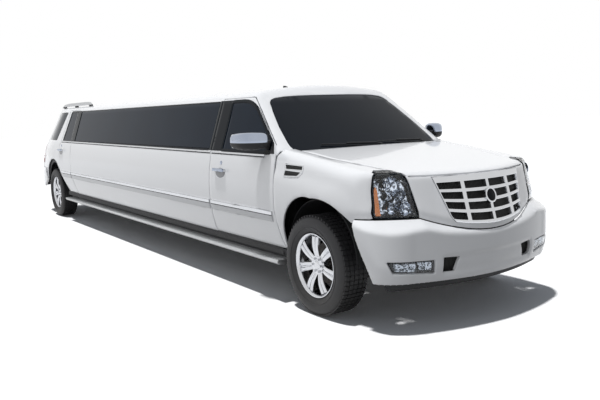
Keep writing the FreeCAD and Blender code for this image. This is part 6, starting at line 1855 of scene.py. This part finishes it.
# ---------------------------------------------------------------- operators: cabin and underbody
class BuildCabin(Piece):
    """Seats with sewn panels, bar cabinet, dashboard and steering wheel."""
    bl_idname = "limousine.cabin"
    bl_label = "Cabin"

    def cushion(self, name, low, high, fill, channels=0, along=0, stands_for=None):
        """Crowned closed cushion whose sides pull in between its corners, with sewn channels."""
        size_of = [high[i] - low[i] for i in range(3)]
        centre = [(high[i] + low[i]) / 2 for i in range(3)]
        thin = size_of.index(min(size_of))
        spans = [i for i in range(3) if i != thin]
        counts = [max(8, min(90, int(size_of[i] / 0.035))) for i in spans]
        verts, faces = [], []
        for face_side in (1, -1):
            start = len(verts)
            for i in range(counts[0] + 1):
                for j in range(counts[1] + 1):
                    u, v = 2 * i / counts[0] - 1, 2 * j / counts[1] - 1
                    p = [0.0, 0.0, 0.0]
                    squeeze_u = 1 - 0.010 * (1 - v * v) / max(size_of[spans[0]], 0.1)
                    squeeze_v = 1 - 0.010 * (1 - u * u) / max(size_of[spans[1]], 0.1)
                    edge_u = 1 - abs(u) ** 10
                    edge_v = 1 - abs(v) ** 10
                    dome = (edge_u * edge_v) ** 0.35
                    swell = math.cos(u * math.pi / 2) ** 0.5 * math.cos(v * math.pi / 2) ** 0.5
                    crown = 0.72 + 0.28 * swell
                    sew = 1.0
                    if channels:
                        across = u if along == 0 else v
                        phase = (across + 1) / 2 * channels
                        sew = 1 - 0.16 * math.exp(-((phase - round(phase)) / 0.07) ** 2)
                    p[spans[0]] = centre[spans[0]] + u * squeeze_u * size_of[spans[0]] / 2
                    p[spans[1]] = centre[spans[1]] + v * squeeze_v * size_of[spans[1]] / 2
                    p[thin] = centre[thin] + face_side * size_of[thin] / 2 * dome * crown * sew
                    verts.append(p)
            rows = counts[1] + 1
            for i in range(counts[0]):
                for j in range(counts[1]):
                    a = start + i * rows + j
                    quad = (a, a + rows, a + rows + 1, a + 1)
                    faces.append(quad if face_side > 0 else quad[::-1])
        item = grown(name, "shell", "seat_leather", recalculated(np.array(verts), faces), leather(),
                     angle=60, stands_for=stands_for)
        return item

    def build(self):
        seat_y = FRONT + 1.130
        for word, side in (("left", 1), ("right", -1)):
            x0, x1 = sorted((side * 0.135, side * 0.665))
            self.cushion(f"front_seat_base_{word}", (x0, seat_y - 0.01, 0.70),
                                (x1, seat_y + 0.50, 0.83), 0.7, channels=5,
                         stands_for="front_seats" if side > 0 else None)
            back = self.cushion(f"front_seat_back_{word}", (x0 + 0.01, seat_y + 0.50, 0.74),
                                (x1 - 0.01, seat_y + 0.62, 1.33), 0.7, channels=5)
            # the back leans
            reshaped(back, lambda p: p + np.outer((p[:, 2] - 0.78) * 0.20, (0, 1, 0)))
            self.cushion(f"front_seat_head_rest_{word}", (side * 0.4 - 0.12, seat_y + 0.63, 1.36),
                                (side * 0.4 + 0.12, seat_y + 0.71, 1.495), 0.8)
            frame_loop = filleted([(seat_y + 0.02, 0.482), (seat_y + 0.02, 0.62),
                                   (seat_y - 0.01, 0.71), (seat_y + 0.58, 0.71),
                                   (seat_y + 0.62, 0.60), (seat_y + 0.59, 0.482)], 0.03)
            grown(f"front_seat_frame_{word}", "shell", "black_trim",
                  extruded(frame_loop, x0 + 0.03, x1 - 0.03), trim(), bevel=0.010, segments=3)
            posts = [tube([(x, seat_y + 0.66, 1.30), (x, seat_y + 0.67, 1.40)], 0.006)
                     for x in (side * 0.4 - 0.05, side * 0.4 + 0.05)]
            grown(f"front_seat_head_posts_{word}", "shell", "chrome", merged(posts), chrome())
        self.lounge()
        self.cabinet()
        self.dash()

    def lounge(self):
        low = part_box("lounge_seats")[0]
        y0, y1 = low.y + 0.01, REAR - 0.65
        outer = -low.x
        count = 5
        for k in range(count):
            a, b = y0 + (y1 - y0) * k / count, y0 + (y1 - y0) * (k + 1) / count
            self.cushion(f"bench_base_{k + 1}", (-outer + 0.13, a + 0.004, 0.78),
                         (-0.262, b - 0.004, 0.90), 0.7, channels=6, along=1,
                         stands_for=None if k else "lounge_seats")
            self.cushion(f"bench_back_{k + 1}", (-outer + 0.012, a + 0.004, 0.89),
                         (-outer + 0.135, b - 0.004, 1.285), 0.7, channels=6)
        rear = REAR - 0.64
        for k in range(2):
            a, b = -0.25 + k * 0.505, 0.25 + k * 0.505
            self.cushion(f"rear_bench_base_{k + 1}", (a + 0.004, rear - 0.57, 0.78),
                         (b - 0.004, rear - 0.13, 0.90), 0.7, channels=4)
            self.cushion(f"rear_bench_back_{k + 1}", (a + 0.004, rear - 0.135, 0.89),
                         (b - 0.004, rear - 0.012, 1.285), 0.7, channels=4)
        plinths = [cuboid((-outer + 0.01, y0, 0.482), (-0.30, y1, 0.79)),
                   cuboid((-0.25, rear - 0.54, 0.482), (outer - 0.01, rear - 0.01, 0.79))]
        grown("bench_plinths", "shell", "interior_grey", merged(plinths), lining(), bevel=0.012,
              segments=3)

    def cabinet(self):
        low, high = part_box("bar_cabinet")
        parts = [cuboid((low.x + 0.02, low.y + 0.02, 0.482), (high.x - 0.006, high.y - 0.03, 0.93))]
        knobs = []
        step = (high.y - low.y - 0.11) / 6
        for y in low.y + 0.05 + step * np.arange(6):
            parts.append(cuboid((low.x + 0.008, y, 0.53), (low.x + 0.024, y + step - 0.02, 0.90)))
            knobs.append(tube([(low.x + out, y + 0.04, 0.86) for out in (0.008, -0.012)],
                              [0.008, 0.012], 12))
        grown("bar_cabinet_body", "shell", "bar_wood", merged(parts), wood(), bevel=0.004,
              stands_for="bar_cabinet")
        grown("bar_cabinet_top", "shell", "bar_wood",
              cuboid((low.x, low.y, 0.931), (high.x, high.y, 0.960)), gloss_black(), bevel=0.006,
              segments=3)
        grown("bar_cabinet_knobs", "shell", "chrome", merged(knobs), chrome())

    def dash(self):
        y = FRONT + 0.590
        loop = filleted([(y, 0.865), (y, 1.212), (y + 0.31, 1.178), (y + 0.37, 1.11),
                         (y + 0.33, 0.96), (y + 0.27, 0.865)], 0.03)
        grown("dashboard_body", "shell", "interior_grey", extruded(loop, -0.798, 0.798), trim(),
              bevel=0.015, segments=3, stands_for="dashboard")
        grown("console", "shell", "interior_grey",
              cuboid((-0.128, y + 0.20, 0.482), (0.128, y + 0.95, 0.90)), lining(), bevel=0.03,
              segments=4)
        parts = [cuboid((x - 0.075, y + 0.338, 1.015), (x + 0.075, y + 0.362, 1.075))
                 for x in (-0.60, -0.10, 0.10, 0.68)]
        grown("dashboard_vents", "shell", "black_trim", merged(parts), grille_mesh(), bevel=0.006)
        hood_loop = filleted([(y + 0.16, 1.16), (y + 0.18, 1.205), (y + 0.36, 1.19),
                              (y + 0.38, 1.15)], 0.02)
        grown("dial_hood", "shell", "black_trim", extruded(hood_loop, 0.24, 0.56), trim(),
              bevel=0.012, segments=3)
        # steering wheel
        centre = Vector((0.40, y + 0.48, 1.13))
        axis = Vector((0, 0.906, 0.423))
        turn = axis.to_track_quat("Z", "Y").to_matrix()

        def on_wheel(a, radius, rise=0):
            return centre + turn @ Vector((radius * math.cos(a), radius * math.sin(a), rise))

        rings = [[on_wheel(2 * math.pi * k / 48, 0.175 + 0.014 * math.cos(b), 0.014 * math.sin(b))
                  for b in 2 * math.pi * np.arange(10) / 10] for k in range(48)]
        parts = [skinned(rings, True)]
        for a in (0.15, math.pi - 0.15, -math.pi / 2):
            end = on_wheel(a, 0.168)
            parts.append(tube([centre - axis * 0.012, (centre + end) / 2 - axis * 0.006, end],
                              [0.022, 0.016, 0.012], 10))
        parts.append(tube([centre - axis * 0.10, centre - axis * 0.012, centre + axis * 0.012],
                          [0.03, 0.055, 0.050], 24))
        grown("steering_wheel_rim", "shell", "interior_grey", merged(parts), leather(),
              stands_for="steering_wheel")


def cut_level(item, height):
    """Edges round an object's mesh at a height."""
    work = bmesh.new()
    work.from_mesh(item.data)
    bmesh.ops.bisect_plane(work, geom=work.verts[:] + work.edges[:] + work.faces[:], dist=1e-6,
                           plane_co=(0, 0, height), plane_no=(0, 0, 1))
    work.to_mesh(item.data)
    work.free()


class FinishFrame(Piece):
    """Materials for the underbody pieces that keep their own shape."""
    bl_idname = "limousine.frame_finish"
    bl_label = "Underbody finish"

    def build(self):
        finishes = {
            "chassis_frame": frame_black, "front_suspension": frame_black, "rear_axle": frame_black,
            "propeller_shaft": iron, "knuckle_left": iron, "knuckle_right": iron,
            "engine_block": iron, "fuel_tank": frame_black, "exhaust": iron, "floor_pan": carpet,
            "firewall": trim, "divider": lining, "wheel_liners": trim,
        }
        for name, make in finishes.items():
            item = bpy.data.objects.get(name)
            if item is None:
                raise RuntimeError(f"no node {name}")
            material = make()
            if item.material_slots:
                for slot in item.material_slots:
                    slot.material = material
            else:
                item.data.materials.append(material)


# ---------------------------------------------------------------- stage
class BuildStage(Piece):
    """Pale floor, soft lights and the camera."""
    bl_idname = "limousine.stage"
    bl_label = "Stage"

    def build(self):
        scene = bpy.context.scene
        size = 60
        verts = [(-size, -size, 0), (size, -size, 0), (size, size, 0), (-size, size, 0)]
        floor = mesh_object("floor", verts, [(0, 1, 2, 3)], self.floor_finish(), smooth=False)
        self.world(scene)
        for name, toward, strength, spread in (
                ("sun", (0.14, -0.06, -1.0), 2.35, 3), ("fill", (1.0, 0.20, -0.72), 1.25, 60)):
            light = bpy.data.lights.new(name, "SUN")
            light.energy, light.angle = strength, math.radians(spread)
            lamp = bpy.data.objects.new(name, light)
            lamp.visible_glossy = lamp.visible_transmission = False
            lamp.rotation_euler = Vector(toward).to_track_quat("-Z", "Y").to_euler()
            scene.collection.objects.link(lamp)
            if name == "fill":
                self.spare(lamp, floor)
        self.camera(scene)
        scene.view_settings.view_transform = "Standard"

    def spare(self, lamp, floor):
        """Keep a light off the floor."""
        kept = bpy.data.collections.new("not lit by " + lamp.name)
        kept.objects.link(floor)
        kept.collection_objects[0].light_linking.link_state = "EXCLUDE"
        lamp.light_linking.receiver_collection = kept

    def camera(self, scene):
        data = bpy.data.cameras.new("camera")
        sensor, focal = 36.0, 681.92 / 600
        data.sensor_width, data.lens = sensor, focal * sensor
        data.clip_end = 200
        camera = bpy.data.objects.new("camera", data)
        yaw, pitch, roll = 0.59356, -0.12891, -0.03542
        level = math.cos(pitch)
        ahead = Vector((math.sin(yaw) * level, math.cos(yaw) * level, math.sin(pitch)))
        right = ahead.cross(Vector((0, 0, 1))).normalized()
        up = right.cross(ahead)
        across = right * math.cos(roll) + up * math.sin(roll)
        over = -right * math.sin(roll) + up * math.cos(roll)
        turn = Matrix((across, over, -ahead)).transposed()
        stand = Matrix.Translation((-3.99261, FRONT - 4.30907, 1.60832))
        camera.matrix_world = stand @ turn.to_4x4()
        scene.collection.objects.link(camera)
        scene.camera = camera

    def floor_finish(self):
        """Matt floor that throws little light back on the vehicle, and is white where the camera,
        a reflection or glass sees it outside a shadow."""
        material = finish_of("pale floor", (0.22, 0.22, 0.22), 0.8, (0.20, 0.20, 0.20), fine=60.0,
                             bump=0.01, Specular_IOR_Level=0.0)
        tree = material.node_tree
        shader, out = tree.nodes["Principled BSDF"], tree.nodes["Material Output"]
        white, mix = tree.nodes.new("ShaderNodeBsdfDiffuse"), tree.nodes.new("ShaderNodeMixShader")
        white.inputs["Color"].default_value = (1.3, 1.3, 1.3, 1)
        add, glow = tree.nodes.new("ShaderNodeAddShader"), tree.nodes.new("ShaderNodeEmission")
        glow.inputs["Strength"].default_value = 0.02
        wire(tree, (seen_directly(tree), 0, mix, 0), (white, "BSDF", add, 0),
             (glow, "Emission", add, 1), (shader, "BSDF", mix, 1), (add, "Shader", mix, 2),
             (mix, "Shader", out, "Surface"))
        return material

    def world(self, scene):
        world = bpy.data.worlds.new("studio")
        scene.world = world
        world.use_nodes = True
        tree = world.node_tree
        tree.nodes.clear()
        out = tree.nodes.new("ShaderNodeOutputWorld")
        mix = tree.nodes.new("ShaderNodeMixShader")
        soft, seen = tree.nodes.new("ShaderNodeBackground"), tree.nodes.new("ShaderNodeBackground")
        soft.inputs["Color"].default_value = (0.82, 0.89, 1.0, 1)
        soft.inputs["Strength"].default_value = 0.15
        seen.inputs["Color"].default_value = (1, 1, 1, 1)
        wire(tree, (seen_directly(tree), 0, mix, 0), (soft, "Background", mix, 1),
             (seen, "Background", mix, 2), (mix, "Shader", out, "Surface"))


class LimousinePanel(bpy.types.Panel):
    """Buttons and sizes in the sidebar."""
    bl_idname = "VIEW3D_PT_limousine"
    bl_label = "Stretch limousine"
    bl_space_type = "VIEW_3D"
    bl_region_type = "UI"
    bl_category = "Limousine"

    def draw(self, context):
        for prop in LimousineSizes.__annotations__:
            self.layout.prop(context.scene.limousine, prop)
        for maker in MAKERS:
            self.layout.operator(maker.bl_idname)


MAKERS = (BuildStage, FinishFrame, BuildDoors, BuildSides, BuildFront, BuildRear, BuildNose,
          BuildWheels, BuildTrim, BuildCabin)
CLASSES = (LimousineSizes,) + MAKERS + (LimousinePanel,)


def register():
    for cls in CLASSES:
        bpy.utils.register_class(cls)
    bpy.types.Scene.limousine = PointerProperty(type=LimousineSizes)


def unregister():
    del bpy.types.Scene.limousine
    for cls in reversed(CLASSES):
        bpy.utils.unregister_class(cls)


def main():
    register()
    for maker in MAKERS:
        group, name = maker.bl_idname.split(".")
        getattr(getattr(bpy.ops, group), name)()


if __name__ == "__main__":
    main()
